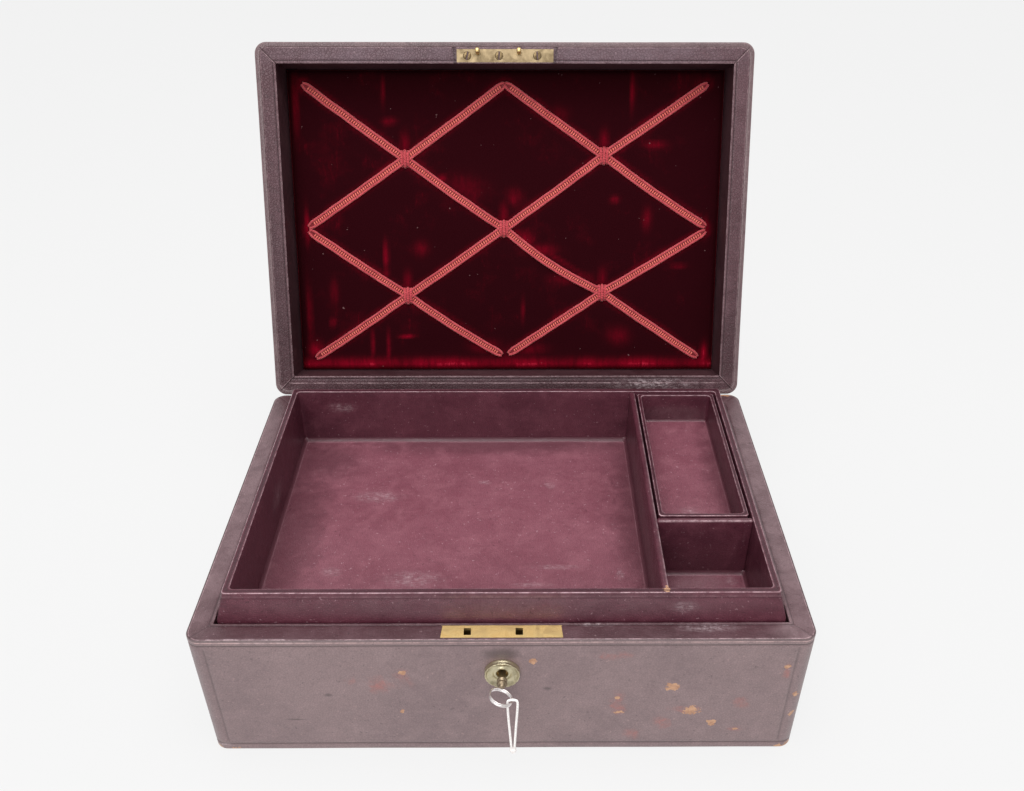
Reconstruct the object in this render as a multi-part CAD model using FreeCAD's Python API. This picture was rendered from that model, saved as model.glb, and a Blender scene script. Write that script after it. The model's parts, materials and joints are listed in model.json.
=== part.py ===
import FreeCAD, Part
import math
import os

# Leather-covered jewellery case: hinged lid with a velvet panel, lift-out tray, box lock, key and string.
# Millimetres, +Z up. The origin is the centre of the underside, -Y is the front. The lid stands open.

V = FreeCAD.Vector

# Case
CASE_WIDTH = 300.0
CASE_DEPTH = 214.0
BASE_HEIGHT = 81.0
LID_HEIGHT = 37.0
RIM_GAP = 0.3
OPEN_ANGLE = 112.0
CORNER_RADIUS = 7.0
EDGE_ROUND = 1.2
LID_TOP_ROUND = 2.5
LEATHER = 1.0
TURN_IN = 1.5
LID_TURN_IN = 3.0
UNDER_TURN = 12.0
BOARD = 9.5
BOTTOM_BOARD = 7.0
LID_BOARD = 5.0

# Lift-out tray and its rests
TRAY_GAP = 1.2
TRAY_SIDE_LEAN = 3.8
TRAY_END_LEAN = 4.1
TRAY_PROUD = 15.0
TRAY_FLOOR_DROP = 22.5
TRAY_WALL = 3.2
TRAY_BOARD = 3.0
TRAY_EDGE = 0.9
TRAY_BEARING = 8.3
SEAT_GAP = 0.05
PARTITION = 3.4
PARTITION_DROP = 0.4
LONG_PARTITION_X = 78.6
CROSS_PARTITION_Y = -36.3

# Small lift-out tray
SMALL_GAP = 1.4
SMALL_DROP = 0.6
SMALL_DEPTH = 19.4
SMALL_WALL = 2.2
SMALL_BOARD = 2.0
SMALL_REST = 3.5

# Velvet panel, braid and ties
PANEL_THICKNESS = 5.0
PANEL_GAP = 1.0
PANEL_ROUND = 3.5
LATTICE_STEP_X = 64.0
LATTICE_STEP_Y = 43.2
BRAID_WIDTH = 5.0
BRAID_THICKNESS = 1.0
TIE_WIDTH = 6.5
TIE_WALL = 0.9
TIE_CLEARANCE = 0.15

# Hinges
HINGE_X = 85.0
HINGE_LENGTH = 40.0
MIDDLE_KNUCKLE = 16.0
KNUCKLE_RADIUS = 2.0
HINGE_CLEARANCE = 0.3
PIN_RADIUS = 0.9
PIN_CLEARANCE = 0.05
LEAF_WIDTH = 8.0
LEAF_THICKNESS = 1.2
LEAF_SCREW_STEP = 13.0

# Lock and link plate
PLATE_LENGTH = 58.0
PLATE_WIDTH = 7.8
PLATE_THICKNESS = 1.5
PLATE_SETBACK = 1.9
LINK_WIDTH = 7.4
SLOT_X = (-16.4, 8.3)
SLOT_LENGTH = 3.5
SLOT_WIDTH = 4.4
LOCK_LENGTH = 56.0
LOCK_DROP = 34.0
LOCK_SETBACK = 2.6
LOCK_SHEET = 1.0
LOCK_PLAY = 0.1
COVER_MARGIN = 4.0
STAPLE_LENGTH = 8.5
STAPLE_WIDTH = 2.4
STAPLE_DEPTH = 3.2
STAPLE_TIP = 2.0
EYE_HEIGHT = 3.4
EYE_DEPTH = 1.9
FINGER_HEIGHT = 2.6
FINGER_REACH = 5.2
FINGER_BACK = 0.45
POST_WIDTH = 2.6
BOLT_THICKNESS = 1.4
BOLT_BAR = 4.5
BOLT_BAR_GAP = 1.8
LINK_SCREW_X = (-22.7, -3.6, 19.3)
LINK_SCREW_HEAD = 2.5

# Barrel, escutcheon and key
KEY_DROP = 21.5
KEY_TURN = 70.0
STUD_ORBIT = 5.0
STUD_RADIUS = 0.8
STUD_PLAY = 0.2
DISC_THICKNESS = 0.9
DISC_MARGIN = 0.4
BARREL_RADIUS = 4.2
CORE_RADIUS = 2.9
BARREL_PLAY = 0.07
NOZZLE_WALL = 1.2
NOZZLE_PLAY = 0.05
ROSE_RADIUS = 8.6
ROSE_PROUD = 3.0
ROSE_LIP = 0.8
ROSE_FLOOR = 1.4
ROSE_SHOULDER = 0.6
KEY_MOUTH = 2.9
SHANK_RADIUS = 1.75
SHANK_PLAY = 0.08
SHANK_OUT = 10.0
SHANK_IN = 7.5
COLLAR_RADIUS = 2.6
COLLAR_LENGTH = 0.9
COLLAR_STEPS = (3.2, 5.0)
BIT_RADIUS = 2.8
BIT_WIDTH = 1.2
BIT_LENGTH = 2.8
BIT_START = 0.8
BIT_PLAY = 0.15
BOW_RADIUS = 6.2
BOW_BAND = 0.9
BOW_HEIGHT = 2.2
BOW_TILT = 20.0

# String loop on the bow
STRING_DIAMETER = 1.2
STRING_HANG_ANGLE = -20.0
KNOT_RADIUS = 1.9
STRING_LEFT = [(0, 0, 2.3), (-1.35, 0, 2.3), (-2.35, 0, 1.3), (-2.35, 0.1, -1.4), (-2.25, 0.3, -6.5)]
STRING_LEFT += [(-1.8, 0.4, -16.5), (-0.7, 0, -34.5)]
STRING_RIGHT = [(0, 0, 2.3), (1.35, 0, 2.3), (2.35, 0, 1.3), (2.4, -0.1, -1.4), (2.2, -0.3, -6.5)]
STRING_RIGHT += [(1.5, -0.4, -16.5), (0.7, 0, -34.5)]

# Screws
SCREW_RADIUS = 1.1
SCREW_HEAD = 2.1
SCREW_HEAD_DEPTH = 1.0
SCREW_LENGTH = 8.0
COVER_SCREW_LENGTH = 6.0

# Worked out from the sizes above
WALL = BOARD + 2 * LEATHER
HALF_W = CASE_WIDTH / 2
HALF_D = CASE_DEPTH / 2
INNER_W = CASE_WIDTH - 2 * WALL
INNER_D = CASE_DEPTH - 2 * WALL
BOARD_W = CASE_WIDTH - 2 * LEATHER
BOARD_D = CASE_DEPTH - 2 * LEATHER
FLOOR_Z = LEATHER + BOTTOM_BOARD + LEATHER
LID_Z0 = BASE_HEIGHT + RIM_GAP
LID_Z1 = LID_Z0 + LID_HEIGHT
LID_CEILING = LID_Z1 - LEATHER - LID_BOARD
VELVET_Z = LID_CEILING - PANEL_THICKNESS
HINGE_POINT = V(0, HALF_D, BASE_HEIGHT + RIM_GAP / 2)
TRAY_W = INNER_W - 2 * TRAY_GAP
TRAY_D = INNER_D - 2 * TRAY_GAP
TRAY_TOP = BASE_HEIGHT + TRAY_PROUD
TRAY_FLOOR = BASE_HEIGHT - TRAY_FLOOR_DROP
TRAY_BASE = TRAY_FLOOR - LEATHER - TRAY_BOARD
LOCK_Y = -HALF_D + PLATE_SETBACK + PLATE_WIDTH / 2
LOCK_FRONT = -HALF_D + LOCK_SETBACK
BOARD_INSIDE = -HALF_D + LEATHER + BOARD
KEY_Z = BASE_HEIGHT - KEY_DROP
STAPLE_END = LID_Z0 - STAPLE_LENGTH
EYE_Z = STAPLE_END + STAPLE_TIP
BAR_TOP = STAPLE_END - BOLT_BAR_GAP


def block(x0, x1, y0, y1, z0, z1):
    return Part.makeBox(x1 - x0, y1 - y0, z1 - z0, V(x0, y0, z0))


def slab(width, depth, z0, z1, x=0.0, y=0.0):
    return block(x - width / 2, x + width / 2, y - depth / 2, y + depth / 2, z0, z1)


def soften(shape, radius, wanted):
    return shape.makeFillet(radius, [edge for edge in shape.Edges if wanted(edge.BoundBox)])


def upright(box):
    return box.ZLength > max(box.XLength, box.YLength)


def level_at(height):
    return lambda box: abs(box.ZMin - height) < 1e-4 and abs(box.ZMax - height) < 1e-4


def rounded(width, depth, z0, z1, radius):
    return soften(slab(width, depth, z0, z1), radius, upright)


def prism(points, z0, z1):
    outline = Part.makePolygon([V(x, y, z0) for x, y in points + points[:1]])
    return Part.Face(outline).extrude(V(0, 0, z1 - z0))


def rod(radius, start, along, length):
    return Part.makeCylinder(radius, length, start, along)


def turned(profile, start, along):
    """Solid of revolution from (radius, distance) points about the line from start along a direction."""
    outline = Part.makePolygon([V(radius, 0, distance) for radius, distance in profile + profile[:1]])
    solid = Part.Face(outline).revolve(V(0, 0, 0), V(0, 0, 1), 360)
    solid.Placement = FreeCAD.Placement(start, FreeCAD.Rotation(V(0, 0, 1), along))
    return solid


def screw(point, along, length, radius=SCREW_HEAD):
    head = [(0, 0), (radius, 0), (SCREW_RADIUS, SCREW_HEAD_DEPTH), (SCREW_RADIUS, length), (0, length)]
    return turned(head, point, along)


def opened(shape):
    lifted = shape.copy()
    lifted.rotate(HINGE_POINT, V(-1, 0, 0), OPEN_ANGLE)
    return lifted


def minus(shape, *tools):
    for tool in tools:
        shape = shape.cut(tool)
    return shape


def save(name, *shapes):
    solids = [solid for shape in shapes for solid in shape.Solids]
    joined = solids[0] if len(solids) == 1 else Part.makeCompound(solids)
    joined.exportStep("parts/" + name + ".step")


def save_lid(name, *shapes):
    save(name, *[opened(shape) for shape in shapes])


# Hinge, lock and screw spaces, shared by the pieces they are let into

def hinge_centres():
    return (-HINGE_X, HINGE_X)


def knuckle_space(x, length, radius):
    return rod(radius, V(x - length / 2, HINGE_POINT.y, HINGE_POINT.z), V(1, 0, 0), length)


def hinge_pockets():
    length = HINGE_LENGTH + 2 * HINGE_CLEARANCE
    return [knuckle_space(x, length, KNUCKLE_RADIUS + HINGE_CLEARANCE) for x in hinge_centres()]


def leaf_block(x, z0):
    y0 = HALF_D - LEATHER - LEAF_WIDTH
    return block(x - HINGE_LENGTH / 2, x + HINGE_LENGTH / 2, y0, HALF_D, z0, z0 + LEAF_THICKNESS)


BASE_LEAF_Z = BASE_HEIGHT - LEATHER - LEAF_THICKNESS
LID_LEAF_Z = LID_Z0 + LEATHER


def leaf_screws(z, direction):
    y = HALF_D - LEATHER - LEAF_WIDTH / 2 - KNUCKLE_RADIUS / 2
    places = [V(x + step, y, z) for x in hinge_centres() for step in (-LEAF_SCREW_STEP, LEAF_SCREW_STEP)]
    return [screw(place, V(0, 0, direction), SCREW_LENGTH) for place in places]


def lock_plate_block():
    half = PLATE_LENGTH / 2
    y0 = -HALF_D + PLATE_SETBACK
    return block(-half, half, y0, y0 + PLATE_WIDTH, BASE_HEIGHT - PLATE_THICKNESS, BASE_HEIGHT)


def link_plate_block():
    y1 = -HALF_D + WALL
    return block(-PLATE_LENGTH / 2, PLATE_LENGTH / 2, y1 - LINK_WIDTH, y1, LID_Z0, LID_Z0 + PLATE_THICKNESS)


def lock_space(play):
    half = LOCK_LENGTH / 2 + play
    z0 = BASE_HEIGHT - PLATE_THICKNESS - LOCK_DROP - play
    return block(-half, half, LOCK_FRONT - play, BOARD_INSIDE, z0, BASE_HEIGHT - PLATE_THICKNESS)


def cover_block():
    half = LOCK_LENGTH / 2 + COVER_MARGIN
    z0 = BASE_HEIGHT - PLATE_THICKNESS - LOCK_DROP - COVER_MARGIN
    y0 = BOARD_INSIDE - LOCK_SHEET
    return block(-half, half, y0, BOARD_INSIDE, z0, BASE_HEIGHT - PLATE_THICKNESS)


def cover_screws():
    x = LOCK_LENGTH / 2 + COVER_MARGIN / 2
    low = BASE_HEIGHT - PLATE_THICKNESS - LOCK_DROP + COVER_MARGIN
    high = BASE_HEIGHT - PLATE_THICKNESS - 2 * COVER_MARGIN
    places = [V(side * x, BOARD_INSIDE, z) for side in (-1, 1) for z in (low, high)]
    return [screw(place, V(0, -1, 0), COVER_SCREW_LENGTH) for place in places]


def link_screws():
    y = -HALF_D + WALL - LINK_WIDTH / 2
    return [screw(V(x, y, LID_Z0), V(0, 0, 1), SCREW_LENGTH, LINK_SCREW_HEAD) for x in LINK_SCREW_X]


def nozzle_hole():
    radius = BARREL_RADIUS + BARREL_PLAY + NOZZLE_WALL + NOZZLE_PLAY
    return rod(radius, V(0, -HALF_D - 1, KEY_Z), V(0, 1, 0), LOCK_SETBACK + 1)


# Boxes of boards, covering and lining

def covering(z0, z1):
    shell = rounded(CASE_WIDTH, CASE_DEPTH, z0, z1, CORNER_RADIUS)
    core = rounded(BOARD_W, BOARD_D, z0 + LEATHER, z1 - LEATHER, CORNER_RADIUS - LEATHER)
    return shell, core


def rim_opening(z0, turn_in):
    radius = CORNER_RADIUS - turn_in
    return rounded(CASE_WIDTH - 2 * turn_in, CASE_DEPTH - 2 * turn_in, z0, z0 + LEATHER, radius)


def wall_boards(z0, z1):
    """Front, back, left and right boards; the ends carry the rounded corners on the long boards."""
    frame = rounded(BOARD_W, BOARD_D, z0, z1, CORNER_RADIUS - LEATHER)
    inside = BOARD_D / 2 - BOARD
    side = BOARD_W / 2 - BOARD
    front = frame.common(block(-HALF_W, HALF_W, -HALF_D, -inside, z0, z1))
    back = frame.common(block(-HALF_W, HALF_W, inside, HALF_D, z0, z1))
    left = block(-BOARD_W / 2, -side, -inside, inside, z0, z1)
    right = block(side, BOARD_W / 2, -inside, inside, z0, z1)
    return front, back, left, right


def rim_strips(z0, turn_in):
    """Four mitred leather strips round a rim: front, back, left and right."""
    ring = rim_opening(z0, turn_in).cut(slab(INNER_W, INNER_D, z0, z0 + LEATHER))
    x0, x1, y0, y1 = INNER_W / 2, HALF_W, INNER_D / 2, HALF_D
    front = [(-x0, -y0), (-x1, -y1), (x1, -y1), (x0, -y0)]
    left = [(-x0, -y0), (-x1, -y1), (-x1, y1), (-x0, y0)]
    back = [(x, -y) for x, y in front]
    right = [(-x, y) for x, y in left]
    return [ring.common(prism(points, z0, z0 + LEATHER)) for points in (front, back, left, right)]


def wall_linings(z0, z1):
    long_y = INNER_D / 2
    side_x = INNER_W / 2
    front = block(-side_x, side_x, -long_y - LEATHER, -long_y, z0, z1)
    back = block(-side_x, side_x, long_y, long_y + LEATHER, z0, z1)
    left = block(-side_x - LEATHER, -side_x, -long_y - LEATHER, long_y + LEATHER, z0, z1)
    right = block(side_x, side_x + LEATHER, -long_y - LEATHER, long_y + LEATHER, z0, z1)
    return front, back, left, right


def make_base():
    shell, core = covering(0, BASE_HEIGHT)
    shell = soften(shell, EDGE_ROUND, lambda box: level_at(0)(box) or level_at(BASE_HEIGHT)(box))
    under = slab(CASE_WIDTH - 2 * UNDER_TURN, CASE_DEPTH - 2 * UNDER_TURN, 0, LEATHER)
    leaves = [leaf_block(x, BASE_LEAF_Z) for x in hinge_centres()]
    rim = rim_opening(BASE_HEIGHT - LEATHER, TURN_IN)
    skin = minus(shell, core, under, rim, nozzle_hole(), *hinge_pockets(), *leaves)
    save("base_leather", skin)
    save("base_underside", under)
    front, back, left, right = wall_boards(LEATHER, BASE_HEIGHT - LEATHER)
    front = minus(front, lock_plate_block(), lock_space(LOCK_PLAY), cover_block(), nozzle_hole())
    front = minus(front, *cover_screws())
    back = minus(back, *hinge_pockets(), *leaves, *leaf_screws(BASE_LEAF_Z + LEAF_THICKNESS, -1))
    save("base_front_board", front)
    save("base_back_board", back)
    save("base_left_board", left)
    save("base_right_board", right)
    bottom = slab(BOARD_W - 2 * BOARD, BOARD_D - 2 * BOARD, LEATHER, LEATHER + BOTTOM_BOARD)
    save("base_bottom_board", bottom)
    strips = rim_strips(BASE_HEIGHT - LEATHER, TURN_IN)
    strips[0] = minus(strips[0], lock_plate_block())
    strips[1] = minus(strips[1], *hinge_pockets())
    save("base_rim_leather", *strips)
    save("base_floor_lining", slab(INNER_W + 2 * LEATHER, INNER_D + 2 * LEATHER, FLOOR_Z - LEATHER, FLOOR_Z))
    save("base_wall_lining", *wall_linings(FLOOR_Z, BASE_HEIGHT - LEATHER))
    make_tray_rests()


def make_tray_rests():
    """Liner boards standing on the floor against each wall; the tray sits on their top edges."""
    top = TRAY_BASE - SEAT_GAP
    rest = TRAY_GAP + TRAY_BEARING
    x = INNER_W / 2
    y = INNER_D / 2
    save("tray_rest_front", block(-x, x, -y, -y + rest, FLOOR_Z, top))
    save("tray_rest_back", block(-x, x, y - rest, y, FLOOR_Z, top))
    save("tray_rest_left", block(-x, -x + rest, -y + rest, y - rest, FLOOR_Z, top))
    save("tray_rest_right", block(x - rest, x, -y + rest, y - rest, FLOOR_Z, top))


def make_lid():
    shell, core = covering(LID_Z0, LID_Z1)
    shell = soften(shell, EDGE_ROUND, level_at(LID_Z0))
    shell = soften(shell, LID_TOP_ROUND, level_at(LID_Z1))
    leaves = [leaf_block(x, LID_LEAF_Z) for x in hinge_centres()]
    skin = minus(shell, core, rim_opening(LID_Z0, LID_TURN_IN), *hinge_pockets(), *leaves)
    save_lid("lid_leather", skin)
    front, back, left, right = wall_boards(LID_Z0 + LEATHER, LID_Z1 - LEATHER)
    front = minus(front, link_plate_block(), *link_screws())
    back = minus(back, *hinge_pockets(), *leaves, *leaf_screws(LID_LEAF_Z, 1))
    save_lid("lid_front_board", front)
    save_lid("lid_back_board", back)
    save_lid("lid_left_board", left)
    save_lid("lid_right_board", right)
    top = slab(BOARD_W - 2 * BOARD, BOARD_D - 2 * BOARD, LID_CEILING, LID_CEILING + LID_BOARD)
    save_lid("lid_top_board", top)
    strips = rim_strips(LID_Z0, LID_TURN_IN)
    strips[0] = minus(strips[0], link_plate_block())
    strips[1] = minus(strips[1], *hinge_pockets())
    save_lid("lid_rim_leather", *strips)
    linings = wall_linings(LID_Z0 + LEATHER, LID_CEILING)
    save_lid("lid_wall_lining", *[minus(sheet, link_plate_block()) for sheet in linings])
    make_panel()
    make_braid()


def make_panel():
    """Padded board with a rolled edge, its velvet face towards the tray."""
    pad = slab(INNER_W - 2 * PANEL_GAP, INNER_D - 2 * PANEL_GAP, VELVET_Z, LID_CEILING)
    pad = soften(pad, PANEL_ROUND, upright)
    save_lid("velvet_panel", soften(pad, PANEL_ROUND, level_at(VELVET_Z)))


def lattice(column, row):
    return V(column * LATTICE_STEP_X, -row * LATTICE_STEP_Y, 0)


def braid_strip(start, end, z0):
    """Flat strip of braid from one lattice point to another, its lower face at z0."""
    run = end - start
    across = V(-run.y, run.x, 0).normalize() * (BRAID_WIDTH / 2)
    corners = [start + across, end + across, end - across, start - across]
    return prism([(corner.x, corner.y) for corner in corners], z0, z0 + BRAID_THICKNESS)


def make_braid():
    """Two crossing sets of braid; points are counted in half diamonds from the middle of the panel."""
    falling = [((-2, 2), (2, -2)), ((0, 2), (2, 0)), ((-2, 0), (0, -2))]
    lower = VELVET_Z - BRAID_THICKNESS
    save_lid("braid_falling", *[braid_strip(lattice(*a), lattice(*b), lower) for a, b in falling])
    rising = [((-x0, y0), (-x1, y1)) for (x0, y0), (x1, y1) in falling]
    upper = lower - BRAID_THICKNESS
    save_lid("braid_rising", *[braid_strip(lattice(*a), lattice(*b), upper) for a, b in rising])
    slope = math.atan2(LATTICE_STEP_Y, LATTICE_STEP_X)
    reach = TIE_WIDTH / 2 * math.tan(slope) + BRAID_WIDTH / 2 / math.cos(slope) + TIE_CLEARANCE
    inner_z = upper - TIE_CLEARANCE
    ties = []
    for column, row in ((-1, 1), (1, 1), (0, 0), (-1, -1), (1, -1)):
        place = lattice(column, row)
        outer = slab(TIE_WIDTH, 2 * (reach + TIE_WALL), inner_z - TIE_WALL, VELVET_Z, place.x, place.y)
        outer = soften(outer, TIE_WALL / 2, level_at(inner_z - TIE_WALL))
        ties.append(outer.cut(slab(2 * TIE_WIDTH, 2 * reach, inner_z, VELVET_Z, place.x, place.y)))
    save_lid("braid_ties", *ties)


def make_hinges():
    base_leaves = []
    lid_leaves = []
    pins = []
    side = (HINGE_LENGTH - MIDDLE_KNUCKLE) / 2
    turning = KNUCKLE_RADIUS + HINGE_CLEARANCE
    base_screws = leaf_screws(BASE_LEAF_Z + LEAF_THICKNESS, -1)
    lid_screws = leaf_screws(LID_LEAF_Z, 1)
    for x in hinge_centres():
        outer_x = [x + sign * (HINGE_LENGTH - side) / 2 for sign in (-1, 1)]
        bore = knuckle_space(x, 2 * HINGE_LENGTH, PIN_RADIUS + PIN_CLEARANCE)
        outer = [knuckle_space(place, side, KNUCKLE_RADIUS) for place in outer_x]
        middle = knuckle_space(x, MIDDLE_KNUCKLE - 2 * HINGE_CLEARANCE, KNUCKLE_RADIUS)
        middle_room = knuckle_space(x, MIDDLE_KNUCKLE, turning)
        outer_room = [knuckle_space(place, side + 2 * HINGE_CLEARANCE, turning) for place in outer_x]
        leaf = leaf_block(x, BASE_LEAF_Z).fuse(outer).removeSplitter()
        base_leaves.append(minus(leaf, middle_room, bore, *base_screws))
        leaf = minus(leaf_block(x, LID_LEAF_Z), *outer_room).fuse(middle).removeSplitter()
        lid_leaves.append(minus(leaf, bore, *lid_screws))
        pins.append(knuckle_space(x, HINGE_LENGTH, PIN_RADIUS))
    save("hinge_base_leaves", *base_leaves)
    save("hinge_pins", *pins)
    save("hinge_base_screws", *base_screws)
    save_lid("hinge_lid_leaves", *lid_leaves)
    save_lid("hinge_lid_screws", *lid_screws)


def make_link():
    screws = link_screws()
    save_lid("link_plate", minus(link_plate_block(), *screws))
    save_lid("link_screws", *screws)
    staples = []
    for x in SLOT_X:
        bar = slab(STAPLE_WIDTH, STAPLE_DEPTH, STAPLE_END, LID_Z0, x, LOCK_Y)
        bar = soften(bar, STAPLE_WIDTH / 4, level_at(STAPLE_END))
        staples.append(bar.cut(slab(2 * STAPLE_WIDTH, EYE_DEPTH, EYE_Z, EYE_Z + EYE_HEIGHT, x, LOCK_Y)))
    save_lid("link_staples", *staples)


def make_lock():
    plate_z = BASE_HEIGHT - PLATE_THICKNESS
    slots = [slab(SLOT_LENGTH, SLOT_WIDTH, plate_z, BASE_HEIGHT, x, LOCK_Y) for x in SLOT_X]
    save("lock_plate", minus(lock_plate_block(), *slots))
    outer = lock_space(0)
    box = outer.BoundBox
    y1 = BOARD_INSIDE - LOCK_SHEET
    half = box.XMax - LOCK_SHEET
    hollow = block(-half, half, LOCK_FRONT + LOCK_SHEET, box.YMax, box.ZMin + LOCK_SHEET, box.ZMax)
    back = block(box.XMin, box.XMax, y1, box.YMax, box.ZMin, box.ZMax)
    barrel_hole = rod(BARREL_RADIUS + BARREL_PLAY, V(0, LOCK_FRONT - 1, KEY_Z), V(0, 1, 0), LOCK_SHEET + 2)
    save("lock_case", minus(outer, hollow, back, barrel_hole))
    save("lock_back_cover", minus(cover_block(), *cover_screws()))
    save("lock_screws", *cover_screws())
    make_bolt()
    make_barrel()
    make_escutcheon()


def stud_place():
    """Rest place of the barrel's stud, half the key's turn to the left of straight up."""
    angle = math.radians(KEY_TURN / 2)
    return V(-STUD_ORBIT * math.sin(angle), LOCK_Y, KEY_Z + STUD_ORBIT * math.cos(angle))


def make_bolt():
    y0 = LOCK_Y - BOLT_THICKNESS / 2
    y1 = LOCK_Y + BOLT_THICKNESS / 2
    finger_z = EYE_Z + (EYE_HEIGHT - FINGER_HEIGHT) / 2
    bar_z = BAR_TOP - BOLT_BAR
    tips = [x - SLOT_LENGTH / 2 - FINGER_BACK for x in SLOT_X]
    stud = stud_place()
    half = 2 * (STUD_RADIUS + STUD_PLAY) + STUD_RADIUS
    left = tips[0] - FINGER_REACH - POST_WIDTH
    right = max(tips[-1], stud.x + half) + POST_WIDTH
    bolt = block(left, right, y0, y1, bar_z, BAR_TOP)
    for tip in tips:
        post = tip - FINGER_REACH
        bolt = bolt.fuse(block(post - POST_WIDTH, post, y0, y1, bar_z, finger_z + FINGER_HEIGHT))
        bolt = bolt.fuse(block(post, tip, y0, y1, finger_z, finger_z + FINGER_HEIGHT))
    foot = stud.z - STUD_RADIUS
    room = STUD_RADIUS + STUD_PLAY
    bolt = bolt.fuse(block(stud.x - half, stud.x + half, y0, y1, foot, bar_z))
    notch = block(stud.x - room, stud.x + room, y0, y1, foot, KEY_Z + STUD_ORBIT + room)
    save("lock_bolt", minus(bolt.removeSplitter(), notch))


def make_barrel():
    """Barrel turned by the key: shaft in the nozzle, disc with the stud, core running back to the cover."""
    start = -HALF_D - ROSE_SHOULDER + BARREL_PLAY
    disc = LOCK_FRONT + LOCK_SHEET + BARREL_PLAY
    back = BOARD_INSIDE - LOCK_SHEET - BARREL_PLAY
    disc_radius = STUD_ORBIT + STUD_RADIUS + DISC_MARGIN
    along = V(0, 1, 0)
    body = rod(BARREL_RADIUS, V(0, start, KEY_Z), along, disc - start)
    body = body.fuse(rod(disc_radius, V(0, disc, KEY_Z), along, DISC_THICKNESS))
    body = body.fuse(rod(CORE_RADIUS, V(0, disc, KEY_Z), along, back - disc))
    stud = stud_place()
    stud_end = LOCK_Y + BOLT_THICKNESS / 2 + STUD_PLAY
    body = body.fuse(rod(STUD_RADIUS, V(stud.x, disc, stud.z), along, stud_end - disc)).removeSplitter()
    socket = rod(SHANK_RADIUS + SHANK_PLAY, V(0, start, KEY_Z), along, SHANK_IN - HALF_D - start + SHANK_PLAY)
    groove_end = -HALF_D + BIT_START + BIT_LENGTH + BIT_PLAY
    width = BIT_WIDTH / 2 + BIT_PLAY
    groove = block(-width, width, start, groove_end, KEY_Z, KEY_Z + BIT_RADIUS + BIT_PLAY)
    save("lock_barrel", minus(body, socket, groove))


def make_escutcheon():
    """Dished round rose on the front leather with a nozzle through the board to the lock case."""
    bore = BARREL_RADIUS + BARREL_PLAY
    nozzle = bore + NOZZLE_WALL
    depth = -LOCK_SETBACK
    outline = [(bore, depth), (nozzle, depth), (nozzle, 0), (ROSE_RADIUS, 0), (ROSE_RADIUS, ROSE_PROUD / 2)]
    outline += [(ROSE_RADIUS - ROSE_LIP / 2, ROSE_PROUD), (ROSE_RADIUS - 3 * ROSE_LIP / 2, ROSE_PROUD)]
    outline += [(nozzle - ROSE_LIP, ROSE_FLOOR), (KEY_MOUTH, ROSE_FLOOR)]
    outline += [(KEY_MOUTH, ROSE_SHOULDER), (bore, ROSE_SHOULDER)]
    save("escutcheon", turned(outline, V(0, -HALF_D, KEY_Z), V(0, -1, 0)))


def bow_centre():
    return V(0, -HALF_D - SHANK_OUT - BOW_RADIUS + BOW_BAND / 2, KEY_Z)


def make_key():
    """Round shank with collars and a bit, ending in a ring bow tilted about the shank."""
    along = V(0, -1, 0)
    tip = V(0, -HALF_D + SHANK_IN, KEY_Z)
    key = rod(SHANK_RADIUS, tip, along, SHANK_IN + SHANK_OUT)
    for step in COLLAR_STEPS:
        key = key.fuse(rod(COLLAR_RADIUS, V(0, -HALF_D - ROSE_PROUD - step, KEY_Z), along, COLLAR_LENGTH))
    bit_y = -HALF_D + BIT_START
    key = key.fuse(block(-BIT_WIDTH / 2, BIT_WIDTH / 2, bit_y, bit_y + BIT_LENGTH, KEY_Z, KEY_Z + BIT_RADIUS))
    centre = bow_centre()
    ring = rod(BOW_RADIUS, centre - V(0, 0, BOW_HEIGHT / 2), V(0, 0, 1), BOW_HEIGHT)
    hole = rod(BOW_RADIUS - BOW_BAND, centre - V(0, 0, BOW_HEIGHT), V(0, 0, 1), 2 * BOW_HEIGHT)
    ring.rotate(centre, V(0, 1, 0), BOW_TILT)
    hole.rotate(centre, V(0, 1, 0), BOW_TILT)
    save("key", minus(key.fuse(ring).removeSplitter(), hole))


def string_point():
    """Point of the bow's band that the string hangs from."""
    angle = math.radians(STRING_HANG_ANGLE)
    tilt = math.radians(BOW_TILT)
    radius = BOW_RADIUS - BOW_BAND / 2
    reach = radius * math.cos(angle)
    return bow_centre() + V(reach * math.cos(tilt), radius * math.sin(angle), -reach * math.sin(tilt))


def strand(points):
    """Tube along straight runs joined by tangent arcs as large as the shorter run allows."""
    edges = []
    radii = []
    start = points[0]
    for before, here, after in zip(points, points[1:], points[2:]):
        back = before - here
        ahead = after - here
        trim = 0.45 * min(back.Length, ahead.Length)
        half_turn = (math.pi - back.getAngle(ahead)) / 2
        radii.append(trim / math.tan(half_turn))
        enter = here + V(back).normalize() * trim
        leave = here + V(ahead).normalize() * trim
        bisector = (V(back).normalize() + V(ahead).normalize()).normalize()
        middle = here + bisector * (radii[-1] / math.cos(half_turn) - radii[-1])
        edges.append(Part.LineSegment(start, enter).toShape())
        edges.append(Part.Arc(enter, middle, leave).toShape())
        start = leave
    edges.append(Part.LineSegment(start, points[-1]).toShape())
    path = Part.Wire(edges)
    section = Part.Circle(points[0], points[1] - points[0], STRING_DIAMETER / 2).toShape()
    tube = path.makePipeShell([Part.Wire([section])], True, False)
    expected = math.pi * STRING_DIAMETER ** 2 / 4 * path.Length
    print("strand radii", [round(radius, 2) for radius in radii])
    print("strand length", round(path.Length, 2), "volume share", round(tube.Volume / expected, 4))
    return tube


def make_string():
    hang = string_point()
    print("string hangs at", [round(value, 3) for value in hang])
    for name, route in (("string_left_strand", STRING_LEFT), ("string_right_strand", STRING_RIGHT)):
        save(name, strand([hang + V(*point) for point in route]))
    end = (V(*STRING_LEFT[-1]) + V(*STRING_RIGHT[-1])) * 0.5
    knot = Part.makeSphere(KNOT_RADIUS, hang + end - V(0, 0, KNOT_RADIUS / 2))
    save("string_knot", knot)


# Trays

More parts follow.
